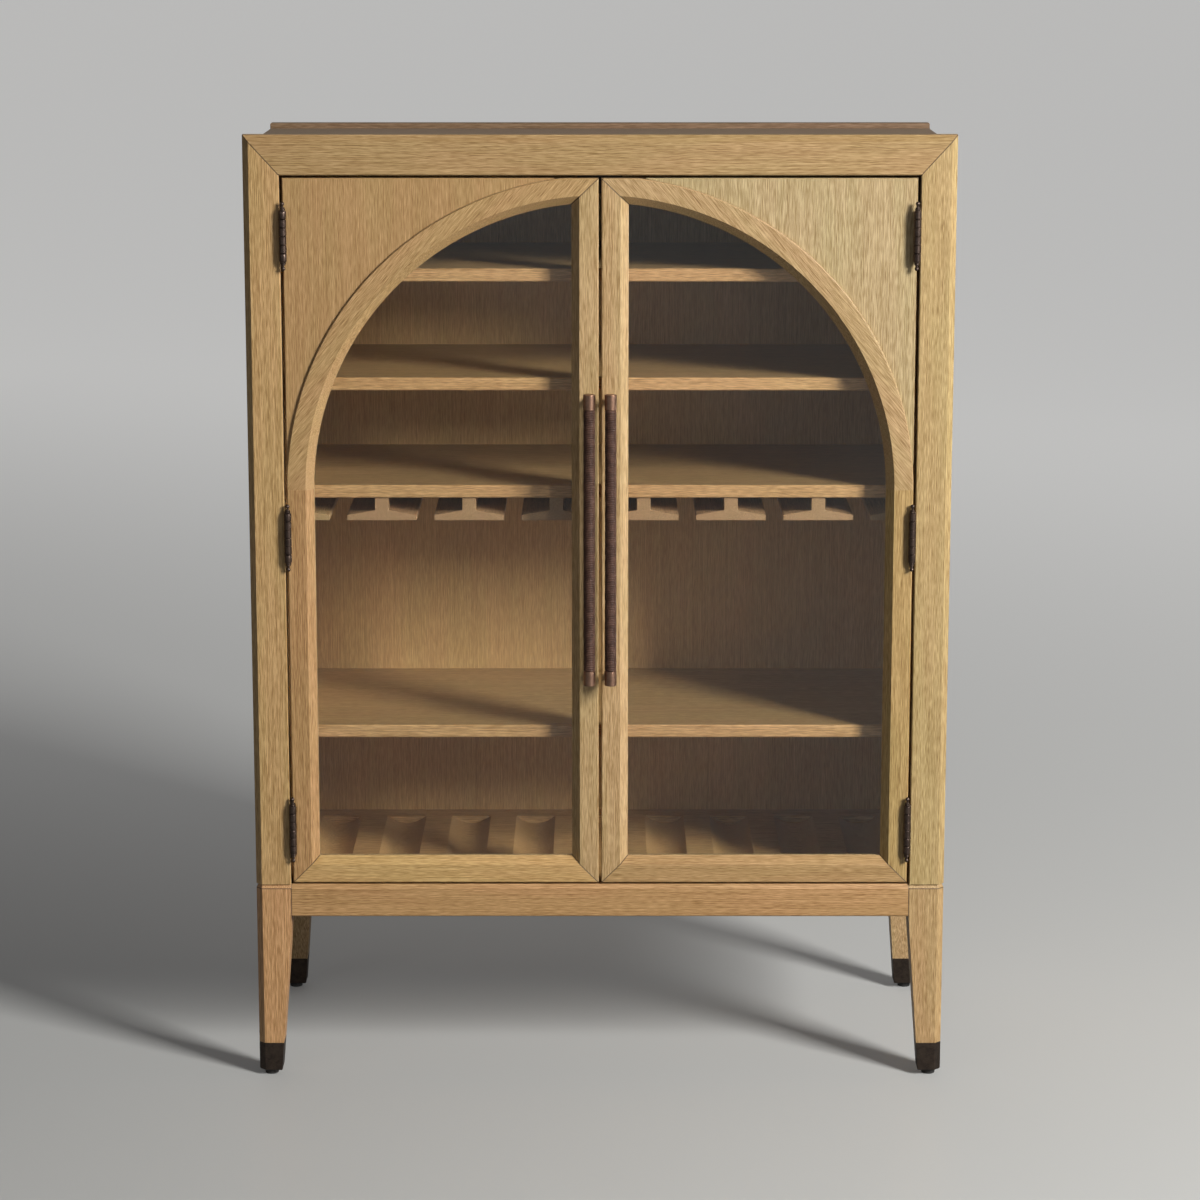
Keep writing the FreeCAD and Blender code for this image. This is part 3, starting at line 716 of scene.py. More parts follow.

woodwork = {
    "right_front_post": {"grain": "z", "seed": 1.1, "pith": (560, 90), "seams": cornerSeams,
                         "gapShade": ((1, 0, 0), opening), "tone": (0.95, 1.00, 0.90)},
    "left_front_post": {"grain": "z", "seed": 2.3, "pith": (-580, 60), "seams": cornerSeams,
                        "gapShade": ((-1, 0, 0), opening), "tone": (1.03, 0.98, 0.85), "figure": 0.95},
    "front_top_rail": {"grain": "x", "seed": 3.7, "pith": (1310, 120), "seams": cornerSeams,
                       "gapShade": ((0, 0, 1), railLow), "tone": (0.83, 0.80, 0.71), "figure": 0.85},
    "right_rear_post": {"grain": "z", "seed": 4.1, "pith": (600, 300)},
    "left_rear_post": {"grain": "z", "seed": 5.9, "pith": (-600, 300)},
    "right_side_panel": {"grain": "z", "seed": 6.2, "pith": (380, 20)},
    "left_side_panel": {"grain": "z", "seed": 7.4, "pith": (-380, 20)},
    "right_side_lining": {"grain": "z", "seed": 8.8, "pith": (600, 20), "tone": inner},
    "left_side_lining": {"grain": "z", "seed": 9.6, "pith": (-600, 20), "tone": inner},
    "top_panel": {"grain": "x", "seed": 10.5, "pith": (1480, 0), "tone": topShade},
    "back_strip": {"grain": "x", "seed": 11.3, "pith": (1450, -200), "tone": rim},
    # the back panel's raised tone: partly its own paler, olive colour and partly painted light, for the
    # light that reaches the back through the glass
    "back_panel": {"grain": "z", "seed": 12.7, "pith": (40, 420), "tone": (1.30, 1.20, 1.03),
                   "figure": 0.5},
    "bottle_bay_shelf": {"grain": "x", "seed": 13.1, "pith": (420, 20), "tone": shelfShade, "lip": lip},
    "stemware_shelf": {"grain": "x", "seed": 14.9, "pith": (980, 20), "tone": shelfShade, "lip": lip},
    "lower_shelf": {"grain": "x", "seed": 15.2, "pith": (900, 20), "tone": shelfShade, "lip": lip},
    "upper_shelf": {"grain": "x", "seed": 16.6, "pith": (1300, 20), "tone": shelfShade, "lip": lip},
    "front_apron": {"grain": "x", "seed": 18.3, "pith": (330, 150), "tone": (0.95, 0.82, 0.70),
                    "figure": 0.85, "seams": [((caseHalf, 0), (caseHalf, baseTop))]},
    "rear_apron": {"grain": "x", "seed": 19.8, "pith": (330, -300)},
    "right_apron": {"grain": "y", "seed": 20.1, "pith": (600, 330)},
    "left_apron": {"grain": "y", "seed": 21.7, "pith": (-600, 330)},
    "right_front_leg": {"grain": "z", "seed": 22.5, "pith": (560, -120), "seams": legSeams,
                        "tone": (0.96, 0.93, 0.87), "figure": 1.1},
    "left_front_leg": {"grain": "z", "seed": 23.2, "pith": (-560, -130), "seams": legSeams,
                       "tone": (1.13, 0.94, 0.87), "figure": 0.95},
    "right_rear_leg": {"grain": "z", "seed": 24.6, "pith": (560, 300), "seams": legSeams},
    "left_rear_leg": {"grain": "z", "seed": 25.4, "pith": (-560, 300), "seams": legSeams},
    "stemware_end_rails": {"grain": "y", "seed": 27.5, "pith": (0, 920), "tone": inner},
}


def mirroredSeams(seams):
    return [((-xFrom, zFrom), (-xTo, zTo)) for (xFrom, zFrom), (xTo, zTo) in seams]


for node, board in woodwork.items():
    ownBoard = dict(board)
    seams = board.get("seams", [])
    if node.startswith("left"):
        ownBoard["seams"] = mirroredSeams(seams)
    elif not node.startswith("right"):
        ownBoard["seams"] = seams + mirroredSeams(seams)
    softCopy(node, node + "_oak", oakFinish(node + "Oak", ownBoard), "oak", arris["wood"])
print("case made")


# Bottle cradle: a board with round-bottomed troughs

cradle = {
    "grain": "x", "seed": 17.4, "pith": (180, 20), "tone": (1.02, 0.88, 0.72),
    "troughs": 9,
    "margin": 48.0,        # from the case's inner wall to the middle of the first trough
    "radius": 45.0,
    "depth": 12.0,
    "stop": 37.0,          # board left behind the troughs, in front of the back panel
    "arcSteps": 18,
    "edge": 0.9,
}


def cradleMesh():
    (xLow, xHigh), (yLow, yHigh), (zLow, zHigh) = span("bottle_cradle")
    notchX = caseHalf      # a notch at each corner leaves room for the leg
    notchFront = span("right_front_leg")[1][1]
    notchBack = yLow + yHigh - notchFront
    troughFront = span("upper_shelf")[1][0]
    troughBack = span("back_panel")[1][0] - cradle["stop"]
    radius, lift = cradle["radius"], cradle["radius"] - cradle["depth"]
    reach = math.sqrt(radius ** 2 - lift ** 2)
    pitch = 2 * (opening - cradle["margin"]) / (cradle["troughs"] - 1)
    middles = [(index - (cradle["troughs"] - 1) / 2) * pitch for index in range(cradle["troughs"])]
    work = bmesh.new()
    cache = {}

    def corner(x, y, z):
        key = (round(x, 3), round(y, 3), round(z, 3))
        if key not in cache:
            cache[key] = work.verts.new(Vector((x, y, z)) * mm)
        return cache[key]

    def arc(middle):
        # the trough's section, from its left rim to its right one
        limit = math.asin(reach / radius)
        points = []
        for step in range(cradle["arcSteps"] + 1):
            turn = limit * (2 * step / cradle["arcSteps"] - 1)
            points.append((middle + radius * math.sin(turn), zHigh - (radius * math.cos(turn) - lift)))
        return points

    rims = [edge for middle in middles for edge in (middle - reach, middle + reach)]
    xs = [xLow, -notchX] + rims + [notchX, xHigh]
    ys = [yLow, troughFront, notchFront, troughBack, notchBack, yHigh]
    for xFrom, xTo in zip(xs, xs[1:]):
        x = (xFrom + xTo) / 2
        inTrough = any(abs(x - middle) < reach for middle in middles)
        for yFrom, yTo in zip(ys, ys[1:]):
            y = (yFrom + yTo) / 2
            notched = abs(x) > notchX and not notchFront <= y <= notchBack
            hollow = inTrough and troughFront <= y <= troughBack
            if not notched and not hollow:
                outline = ((xFrom, yFrom), (xTo, yFrom), (xTo, yTo), (xFrom, yTo))
                work.faces.new([corner(*place, zHigh) for place in outline])
    cutYs = [y for y in ys if troughFront <= y <= troughBack]
    for middle in middles:
        section = arc(middle)
        for (xFrom, zFrom), (xTo, zTo) in zip(section, section[1:]):
            for yFrom, yTo in zip(cutYs, cutYs[1:]):
                work.faces.new([corner(xFrom, yFrom, zFrom), corner(xTo, yFrom, zTo),
                                corner(xTo, yTo, zTo), corner(xFrom, yTo, zFrom)])
        for y in (troughFront, troughBack):
            work.faces.new([corner(x, y, z) for x, z in section])
    rim = [edge for edge in work.edges if edge.is_boundary]
    made = bmesh.ops.extrude_edge_only(work, edges=rim)["geom"]
    for vertex in made:
        if isinstance(vertex, bmesh.types.BMVert):
            vertex.co.z = zLow * mm
    bmesh.ops.edgeloop_fill(work, edges=[item for item in made if isinstance(item, bmesh.types.BMEdge)])
    return finished(work, "bottle_cradle_oak")


dressed(softened(cradleMesh(), cradle["edge"], 3), oakFinish("cradleOak", cradle), "oak", "bottle_cradle")
print("cradle made")


# Stemware rails: one T-shaped rail, repeated

stemware = {
    "grain": "y", "seed": 26.8, "pith": (0, 900), "tone": (0.93, 0.80, 0.82),
    "rails": 6,
    "slot": 25.4,          # clear width for a stem
    "web": 20.0,
    "webHeight": 19.0,
    "flangeSlope": 7.0,
    "flangeEdge": 8.0,
    "edge": 0.8,
}


def stemwareRails():
    (xLow, xHigh), (yLow, yHigh), (zLow, zHigh) = span("stemware_rails")
    pitch = (xHigh - xLow + stemware["slot"]) / stemware["rails"]
    flange = (pitch - stemware["slot"]) / 2
    first = xLow + flange
    slopeEnd = stemware["webHeight"] + stemware["flangeSlope"]
    half = [(stemware["web"] / 2, 0), (stemware["web"] / 2, stemware["webHeight"]),
            (flange, slopeEnd), (flange, slopeEnd + stemware["flangeEdge"])]
    outline = half + [(-x, drop) for x, drop in reversed(half)]
    rings = [[(first + x, y, zHigh - drop) for x, drop in outline] for y in (yLow, yHigh)]
    rail = softened(ringed("stemware_rails_oak", rings), stemware["edge"], 3)
    material = oakFinish("stemwareRailsOak", stemware)
    rail = inRows(rail, material, stemware["rails"], (pitch, 0, 0))
    dressed(rail, material, "oak", "stemware_rails")


stemwareRails()
print("stemware rails made")


# Doors: frame members and glass beads swept along the line of the glass

door = {
    "bevelWidth": 11.5,
    "bevelDepth": 12.0,
    "rebate": 8.0,
    "ease": 1.5,
    "glass": 4.0,
    "glassFit": 0.5,
    "beadFit": 0.3,
    "beadRound": 2.5,
    "beadCut": 0.3,        # share of that round left at its middle
    "arcSteps": 64,
    "edge": 0.35,
    "spandrelEdge": 0.4,
    "beadEdge": 0.2,
    "glassEdge": 0.3,
    "leftSeed": 7.3,       # the left door's boards come from other wood
}
doorParts = ("centre_stile", "bottom_rail", "hinge_stile", "arch_rail")
doorWood = {
    # each board's two tones: on the right door and on the left one
    "centre_stile": {"grain": "z", "seed": 30.2, "pith": (60, -120),
                     "tones": ((1.02, 1.02, 1.00), (0.97, 0.99, 0.96))},
    "hinge_stile": {"grain": "z", "seed": 31.5, "pith": (500, -80),
                    "tones": ((0.89, 0.89, 0.70), (0.88, 0.76, 0.64))},
    "bottom_rail": {"grain": "x", "seed": 32.7, "pith": (350, 130),
                    "tones": ((0.90, 0.84, 0.73), (1.11, 1.06, 0.87)), "figure": 0.85},
    "arch_rail": {"grain": -50, "seed": 33.3, "pith": (1240, 160),
                  "tones": ((0.95, 0.95, 0.92), (0.92, 0.86, 0.76))},
    "spandrel": {"grain": "z", "seed": 34.9, "pith": (330, -60), "figures": (1.0, 0.72),
                 "tones": ((0.94, 1.05, 1.10), (0.89, 0.82, 0.71))},
    "glass_beads": {"grain": "z", "seed": 35.4, "pith": (500, 20)},
}
stileInner = span("right_centre_stile")[0][0]
stileWidth = span("right_centre_stile")[0][1] - stileInner
doorOuter = span("right_hinge_stile")[0][1]
doorLow = span("right_bottom_rail")[2][0]
doorTop = span("right_centre_stile")[2][1]
spring = span("right_hinge_stile")[2][1]
glassFront = faceFront + door["bevelDepth"]


def sightLeft(inset):
    return stileInner + stileWidth - inset


def sightRight(inset):
    return doorOuter - stileWidth + inset


def sightLow(inset):
    return doorLow + stileWidth - inset


crown = (sightLeft(0), spring + math.sqrt(sightRight(0) ** 2 - sightLeft(0) ** 2))
mitreRun = (stileInner - crown[0], doorTop - crown[1])     # from the glass corner to the door's top corner


def archEnd(inset):
    # the angle at which the arch's line meets the mitre, or the door's top before it
    radius = sightRight(inset)
    rise = crown[1] - spring
    square = mitreRun[0] ** 2 + mitreRun[1] ** 2
    half = crown[0] * mitreRun[0] + rise * mitreRun[1]
    rest = crown[0] ** 2 + rise ** 2 - radius ** 2
    share = (-half + math.sqrt(half ** 2 - square * rest)) / square
    topShare = (doorTop - (stileWidth - inset) - crown[1]) / mitreRun[1]
    if inset > stileWidth - door["ease"] * 2:
        share = min(share, topShare)
    return math.atan2(rise + share * mitreRun[1], crown[0] + share * mitreRun[0])


def memberPoint(part, inset, share):
    # where a member's line at this inset runs, from its start (0) to its end (1)
    left, right, low = sightLeft(inset), sightRight(inset), sightLow(inset)
    if part == "centre_stile":
        high = crown[1] + (left - crown[0]) / mitreRun[0] * mitreRun[1]
        return left, low + share * (high - low)
    if part == "bottom_rail":
        return left + share * (right - left), low
    if part == "hinge_stile":
        return right, low + share * (spring - low)
    angle = archEnd(inset) * share
    topmost = doorTop - (stileWidth - inset) - spring
    if inset > stileWidth - door["ease"] * 2 and right * math.sin(angle) > topmost:
        return topmost / math.tan(angle), spring + topmost
    return right * math.cos(angle), spring + right * math.sin(angle)


def addMember(work, part, profile, sign):
    # profile: (inset, y) points of the member's section
    steps = door["arcSteps"] if part == "arch_rail" else 1
    rings = []
    for step in range(steps + 1):
        line = [(memberPoint(part, inset, step / steps), y) for inset, y in profile]
        rings.append([(sign * x, y, z) for (x, z), y in line])
    addRings(work, rings)


def doorSeams(part):
    corners = {"lowInner": ((stileInner, doorLow), (sightLeft(0), sightLow(0))),
               "lowOuter": ((doorOuter, doorLow), (sightRight(0), sightLow(0))),
               "top": (crown, (stileInner, doorTop))}
    meets = {"centre_stile": ("lowInner", "top"), "bottom_rail": ("lowInner", "lowOuter"),
             "hinge_stile": ("lowOuter",), "arch_rail": ("top",)}
    return [corners[name] for name in meets.get(part, ())]


def doorBoard(part, sign):
    board = dict(doorWood[part])
    seams = doorSeams(part)
    board["seams"] = seams if sign > 0 else mirroredSeams(seams)
    board["seed"] += 0 if sign > 0 else door["leftSeed"]
    for name, ownName in (("tones", "tone"), ("figures", "figure")):
        if name in board:
            board[ownName] = board[name][0 if sign > 0 else 1]
    if not isinstance(board["grain"], str):
        board["grain"] *= sign
    elif board["grain"] == "z":
        board["pith"] = (sign * board["pith"][0], board["pith"][1])
    return board


def doorFrame(side, sign):
    outer, ease = stileWidth, door["ease"]
    section = [(outer - ease, faceFront), (door["bevelWidth"], faceFront), (0, glassFront),
               (door["rebate"], glassFront), (door["rebate"], faceBack), (outer, faceBack),
               (outer, faceFront + ease)]
    for part in doorParts:
        node = side + "_" + part
        work = bmesh.new()
        addMember(work, part, section, sign)
        piece = softened(finished(work, node + "_oak"), door["edge"])
        dressed(piece, oakFinish(node + "Oak", doorBoard(part, sign)), "oak", node)
    node = side + "_spandrel"
    material = oakFinish(node + "Oak", doorBoard("spandrel", sign))
    softCopy(node, node + "_oak", material, "oak", door["spandrelEdge"])


def glassBeads(side, sign):
    beadFront = glassFront + door["glass"]
    outer, soft = door["rebate"] - door["beadFit"], door["beadRound"]
    cut = soft * door["beadCut"]
    section = [(0, beadFront), (outer, beadFront), (outer, faceBack), (soft, faceBack),
               (cut, faceBack - cut), (0, faceBack - soft)]
    work = bmesh.new()
    for part in doorParts:
        addMember(work, part, section, sign)
    node = side + "_glass_beads"
    piece = softened(finished(work, node + "_oak", 0.0), door["beadEdge"], 1)
    dressed(piece, oakFinish(node + "Oak", doorBoard("glass_beads", sign)), "oak", node)


def doorGlass(side, sign, material):
    inset = door["rebate"] - door["glassFit"]
    corners = [memberPoint("bottom_rail", inset, 0), memberPoint("bottom_rail", inset, 1)]
    radius, left = sightRight(inset), sightLeft(inset)
    end = math.acos(left / radius)
    arc = [end * step / door["arcSteps"] for step in range(door["arcSteps"] + 1)]
    corners += [(radius * math.cos(turn), spring + radius * math.sin(turn)) for turn in arc]
    rings = [[(sign * x, y, z) for x, z in corners] for y in (glassFront, glassFront + door["glass"])]
    piece = softened(ringed(side + "_glass_pane", rings), door["glassEdge"], 1)
    dressed(piece, material, "glass", side + "_door_glass")


glass = {
    "colour": (0.95, 0.97, 0.96),
    "shade": (0.90, 0.92, 0.91),       # what is left of the light behind a pane
    "roughness": 0.008,
    "ior": 1.5,
    "wave": (330, 330, 330),           # mm
    "waveBump": (0.02, 0.002),
}


def glassFinish():
    material, paint = newPaint("glassFinish")
    wave = paint.noise(paint.objectSpot(), glass["wave"], 1.0)
    pane = paint.principled({
        "Base Color": rgba(glass["colour"]), "Roughness": glass["roughness"], "IOR": glass["ior"],
        "Transmission Weight": 1.0, "Normal": paint.bump(wave, *glass["waveBump"]),
    })
    clear = paint.node("ShaderNodeBsdfTransparent", None, {"Color": rgba(glass["shade"])})
    lighting = paint.ray("Is Shadow Ray") + paint.ray("Is Diffuse Ray")
    closePaint(paint, paint.node("ShaderNodeMixShader", None, {0: lighting, 1: pane, 2: clear}))
    return material


glassMaterial = glassFinish()
for side, sign in sides:
    doorFrame(side, sign)
    glassBeads(side, sign)
    doorGlass(side, sign, glassMaterial)
print("doors made")


# Bronze, steel, rubber, plastic and leather

cloudReach = (0.35, 0.70)      # the noise at which a cloud of another tone starts, and is full
metal = {
    "cloud": (8, 8, 8),
    "cloudNoise": (4.0, 0.6),  # each noise: its detail and its roughness
    "brushNoise": (3.0, 0.6),
    "brushReach": (0.40, 0.80, 0.0, 0.35),
    "cloudRoughness": 0.10,
    "brushRoughness": 0.08,
    "cloudRelief": 0.5,
    "bump": 0.35,
}
moulded = {
    "speckle": (0.45, 0.45, 0.45),
    "speckleNoise": (3.0, 0.7),
    "cloud": (12, 12, 12),
    "lighter": 1.5,
    "shares": (0.4, 0.3),      # of the lighter tone, in speckles and in clouds
    "speckleRoughness": 0.12,
    "bump": (0.3, 0.00004),
}
hingeBronze = {
    "colour": (0.080, 0.055, 0.044), "patina": (0.044, 0.030, 0.025), "rubbed": (0.280, 0.205, 0.165),
    "brush": (2.4, 2.4, 0.5), "roughness": 0.24, "relief": 0.00005, "metallic": 0.9,
}
ferruleBronze = {
    "colour": (0.066, 0.049, 0.038), "patina": (0.040, 0.030, 0.025), "rubbed": (0.170, 0.118, 0.088),
    "brush": (3.3, 3.3, 0.4), "roughness": 0.30, "relief": 0.00004, "metallic": 0.85,
}
pullBronze = {
    "colour": (0.300, 0.175, 0.120), "patina": (0.215, 0.125, 0.088), "rubbed": (0.400, 0.255, 0.180),
    "brush": (4.0, 4.0, 0.33), "roughness": 0.30, "relief": 0.00003, "metallic": 1.0,
}
steel = {
    "colour": (0.520, 0.520, 0.500), "patina": (0.440, 0.440, 0.430), "rubbed": (0.620, 0.620, 0.600),
    "brush": (3.3, 0.4, 3.3), "roughness": 0.30, "relief": 0.00003, "metallic": 1.0,
}
rubber = {"colour": (0.020, 0.019, 0.018), "roughness": 0.62}
plastic = {"colour": (0.085, 0.055, 0.036), "roughness": 0.42}
leather = {
    "dark": (0.060, 0.028, 0.019), "light": (0.120, 0.060, 0.042), "crease": (0.024, 0.012, 0.009),
    "pebbles": 1.1,            # to the millimetre
    "cloud": (9, 9, 9), "cloudNoise": (3.0, 0.55), "cloudRelief": 0.4,
    "creaseWidth": 0.25, "creaseStrength": 0.4,
    "roughness": 0.46, "creaseRoughness": 0.15, "specular": 0.25, "bump": (0.4, 0.00006),
}


def metalFinish(name, look):
    material, paint = newPaint(name)
    spot = paint.objectSpot()
    cloud = paint.noise(spot, metal["cloud"], *metal["cloudNoise"])
    brushed = paint.noise(spot, look["brush"], *metal["brushNoise"])
    colour = paint.mix(paint.band(cloud, *cloudReach), rgba(look["colour"]), rgba(look["patina"]))
    colour = paint.mix(paint.band(brushed, *metal["brushReach"]), colour, rgba(look["rubbed"]))
    uneven = cloud * metal["cloudRoughness"] + brushed * metal["brushRoughness"]
    closePaint(paint, paint.principled({
        "Base Color": colour, "Metallic": look["metallic"], "Roughness": look["roughness"] + uneven,
        "Normal": paint.bump(brushed + cloud * metal["cloudRelief"], metal["bump"], look["relief"]),
    }))
    return material


def mouldedFinish(name, look):
    material, paint = newPaint(name)
    spot = paint.objectSpot()
    speckle = paint.noise(spot, moulded["speckle"], *moulded["speckleNoise"])
    cloud = paint.noise(spot, moulded["cloud"])
    lighter = [part * moulded["lighter"] for part in look["colour"]]
    inSpeckle, inCloud = moulded["shares"]
    paler = speckle * inSpeckle + cloud * inCloud
    closePaint(paint, paint.principled({
        "Base Color": paint.mix(paler, rgba(look["colour"]), rgba(lighter)),
        "Roughness": look["roughness"] + speckle * moulded["speckleRoughness"],
        "Normal": paint.bump(speckle, *moulded["bump"]),
    }))
    return material


def leatherFinish(name, look):
    material, paint = newPaint(name)
    spot = paint.objectSpot()
    pebble = paint.node("ShaderNodeTexVoronoi", {"feature": "DISTANCE_TO_EDGE"},
                        {"Vector": spot, "Scale": look["pebbles"]}, "Distance")
    cloud = paint.noise(spot, look["cloud"], *look["cloudNoise"])
    crease = paint.band(pebble, 0.0, look["creaseWidth"], 1.0, 0.0)
    colour = paint.mix(paint.band(cloud, *cloudReach), rgba(look["dark"]), rgba(look["light"]))
    colour = paint.mix(crease * look["creaseStrength"], colour, rgba(look["crease"]))
    closePaint(paint, paint.principled({
        "Base Color": colour, "Roughness": look["roughness"] + crease * look["creaseRoughness"],
        "Specular IOR Level": look["specular"],
        "Normal": paint.bump(cloud * look["cloudRelief"] - crease, *look["bump"]),
    }))
    return material


bronzeMaterial = metalFinish("hingeFinish", hingeBronze)
ferruleMaterial = metalFinish("ferruleFinish", ferruleBronze)
pullMaterial = metalFinish("pullFinish", pullBronze)
steelMaterial = metalFinish("steelFinish", steel)
rubberMaterial = mouldedFinish("rubberFinish", rubber)
plasticMaterial = mouldedFinish("plasticFinish", plastic)
leatherMaterial = leatherFinish("leatherFinish", leather)
upwards = Vector((0, 0, 1))
towardsRight = Vector((1, 0, 0))
towardsFront = Vector((0, -1, 0))
print("finishes made")


# Feet

glide = {"radius": 10.0, "segments": 40, "edge": 1.0}
ferruleEdge = 0.5


def legGlides():
    (xLow, xHigh), (yLow, yHigh), (zLow, zHigh) = span("leg_glides")
    radius = glide["radius"]
    base = Vector((xLow + radius, yLow + radius, 0))
    profile = [(0, 0), (radius, 0), (radius, zHigh), (0, zHigh)]
    piece = turned("leg_glides_rubber", profile, base, upwards, glide["segments"])
    piece = softened(piece, glide["edge"], 3)
    across, deep = xHigh - xLow - 2 * radius, yHigh - yLow - 2 * radius
    piece = inRows(piece, rubberMaterial, 2, (across, 0, 0), 2, (0, deep, 0))
    dressed(piece, rubberMaterial, "glide_rubber", "leg_glides")


legGlides()
softCopy("leg_ferrules", "leg_ferrules_bronze", ferruleMaterial, "bronze", ferruleEdge, 3)
print("feet made")


# Hinges: a leaf and its knuckles, a pin with its finials, and screws, each made once and repeated

axisPlace = frame["record"]["behaviour"]["joints"][0]["pos_m"]
hinge = {
    "x": axisPlace[0] / mm,
    "y": axisPlace[1] / mm,
    "count": 3,
    "length": 73.2,
    "rings": 6,
    "radius": 5.3,
    "bore": 2.46,
    "pin": 2.4,
    "gap": 0.3,
    "groove": 1.0,             # between two knuckles: how deep, and how far up or down from the middle
    "grooveEdge": (0.3, 0.55),     # its rounding: mm in from the outside, and share of the way up
    "leafWidth": 21.0,
    "leafThickness": 1.5,
    "leafCorner": 3.0,
    "leafEdge": 0.12,
    "tabReach": 1.0,           # how far a knuckle's tab runs into its leaf
    "collar": (4.2, 2.4),      # radius and height of each part of the finial
    "bead": (3.6, 2.3),
    "neck": (1.9, 2.6),
    "ball": 3.1,
    "finialEdge": 0.45,
    "finialLip": 0.05,
    "pinEdge": 0.1,
    "cornerSteps": 6,
    "ballSteps": 14,
    "segments": 40,
}
screw = {
    "count": 3,
    "step": 26.0,
    "head": 3.2,
    "headEdge": (0.15, 0.12),
    "shank": 1.6,
    "length": 16.0,
    "tip": 3.0,
    "fit": 0.1,
    "arm": 0.42,           # half the width of the cross
    "reach": 1.9,
    "sink": 0.9,
    "floor": 0.62,         # how wide the cross still is at its floor
    "segments": 24,
}
hingeLow, hingeHigh = span("right_door_hinge_leaves")[2]
leafLength = hinge["length"]
hingeRise = (hingeHigh - hingeLow - leafLength) / (hinge["count"] - 1)
ringPitch = leafLength / hinge["rings"]
leafScrewY = faceFront + hinge["leafWidth"] / 2


def barrelProfile(first, past):
    # one knuckle, outside then inside, as a closed line of (radius, height) points
    low = first * ringPitch + hinge["gap"] / 2
    high = past * ringPitch - hinge["gap"] / 2
    outer, groove = hinge["radius"], hinge["groove"]
    edgeIn, edgeUp = hinge["grooveEdge"]
    half = [(outer - groove, 0), (outer - edgeIn, groove * edgeUp), (outer, groove)]

    def over(height):
        return [(radius, height + rise) for radius, rise in half]

    def under(height):
        return [(radius, height - rise) for radius, rise in reversed(half)]

    points = over(low)
    for index in range(first + 1, past):
        points += under(index * ringPitch) + over(index * ringPitch)[1:]
    points += under(high) + [(hinge["bore"], high), (hinge["bore"], low)]
    return points + points[:1]


def leafPiece(name, sign, xNear, xFar, screwAxis, knuckles):
    # one leaf at the lowest hinge, on one side of the cabinet
    base = Vector((sign * hinge["x"], hinge["y"], hingeLow))
    corner, thick = hinge["leafCorner"], hinge["leafThickness"]
    back = faceFront + hinge["leafWidth"]
    outline = [(faceFront, hingeLow)]
    for middleZ, start in ((hingeLow + corner, -90), (hingeLow + leafLength - corner, 0)):
        for step in range(hinge["cornerSteps"] + 1):
            turn = math.radians(start + 90 * step / hinge["cornerSteps"])
            outline.append((back - corner + corner * math.cos(turn), middleZ + corner * math.sin(turn)))
    outline.append((faceFront, hingeLow + leafLength))
    leaf = ringed(name, [[(sign * x, y, z) for y, z in outline] for x in (xNear, xFar)])
    inWall = (hinge["bore"] + hinge["radius"]) / 2
    wall = hinge["y"] + math.sqrt(inWall ** 2 - (xNear - hinge["x"]) ** 2)
    for first, past in knuckles:
        low = hingeLow + first * ringPitch + hinge["gap"]
        high = hingeLow + past * ringPitch - hinge["gap"]
        ys = (wall, faceFront + hinge["tabReach"])
        tab = boxed("tab", (sign * xNear, sign * xFar), ys, (low, high))
        leaf = joined(leaf, tab, "UNION")
        barrel = turned("barrel", barrelProfile(first, past), base, upwards, hinge["segments"])
        leaf = joined(leaf, barrel, "UNION")
    head, hole = screw["head"] + screw["fit"], screw["shank"] + screw["fit"]
    sunk = [(0, -thick), (head + thick, -thick), (head, 0), (hole, thick), (hole, thick * 2), (0, thick * 2)]
    way = towardsRight * sign * screwAxis[1]
    for index in range(screw["count"]):
        height = hingeLow + leafLength / 2 + (index - (screw["count"] - 1) / 2) * screw["step"]
        start = Vector((sign * screwAxis[0], leafScrewY, height))
        leaf = joined(leaf, turned("countersink", sunk, start, way, screw["segments"]), "DIFFERENCE")
    return softened(leaf, hinge["leafEdge"], 1)


def addCrossHead(work, profile, base, axis, segments):
    # a screw from its tip to its head, with a cross-shaped recess in the head's top
    rim = addTurned(work, profile, base, axis, segments)
    side = axis.orthogonal().normalized()
    other = axis.cross(side)
    arm, reach = screw["arm"], screw["reach"]
    quarter = [(arm, arm), (arm, reach), (-arm, reach)]
    cross = []
    for cosine, sine in ((1, 0), (0, 1), (-1, 0), (0, -1)):
        cross += [(x * cosine - y * sine, x * sine + y * cosine) for x, y in quarter]
    corners = len(cross)
    loops = []
    for scale, depth in ((1.0, 0.0), (screw["floor"], screw["sink"])):
        centre = base + axis * (profile[-1][1] + depth)
        loops.append([work.verts.new((centre + (side * x + other * y) * scale) * mm) for x, y in cross])
    top, floor = loops
    topEdges = [work.edges.new((top[index], top[(index + 1) % corners])) for index in range(corners)]
    rimEdges = [work.edges.get((rim[index], rim[(index + 1) % segments])) for index in range(segments)]
    bmesh.ops.triangle_fill(work, use_beauty=True, use_dissolve=False, edges=topEdges + rimEdges)
    for index in range(corners):
        after = (index + 1) % corners
        work.faces.new((top[index], top[after], floor[after], floor[index]))
    bmesh.ops.triangulate(work, faces=[work.faces.new(floor)])


def screwProfile():
    head, shank = screw["head"], screw["shank"]
    edgeIn, edgeDown = screw["headEdge"]
    return [(0, screw["length"]), (shank, screw["length"] - screw["tip"]), (shank, hinge["leafThickness"]),
            (head, edgeDown), (head - edgeIn, 0)]


def screwPiece(name, places):
    work = bmesh.new()
    for x, way in places:
        base = Vector((x, leafScrewY, hingeLow + leafLength / 2 - screw["step"]))
        addCrossHead(work, screwProfile(), base, towardsRight * way, screw["segments"])
    return finished(work, name)


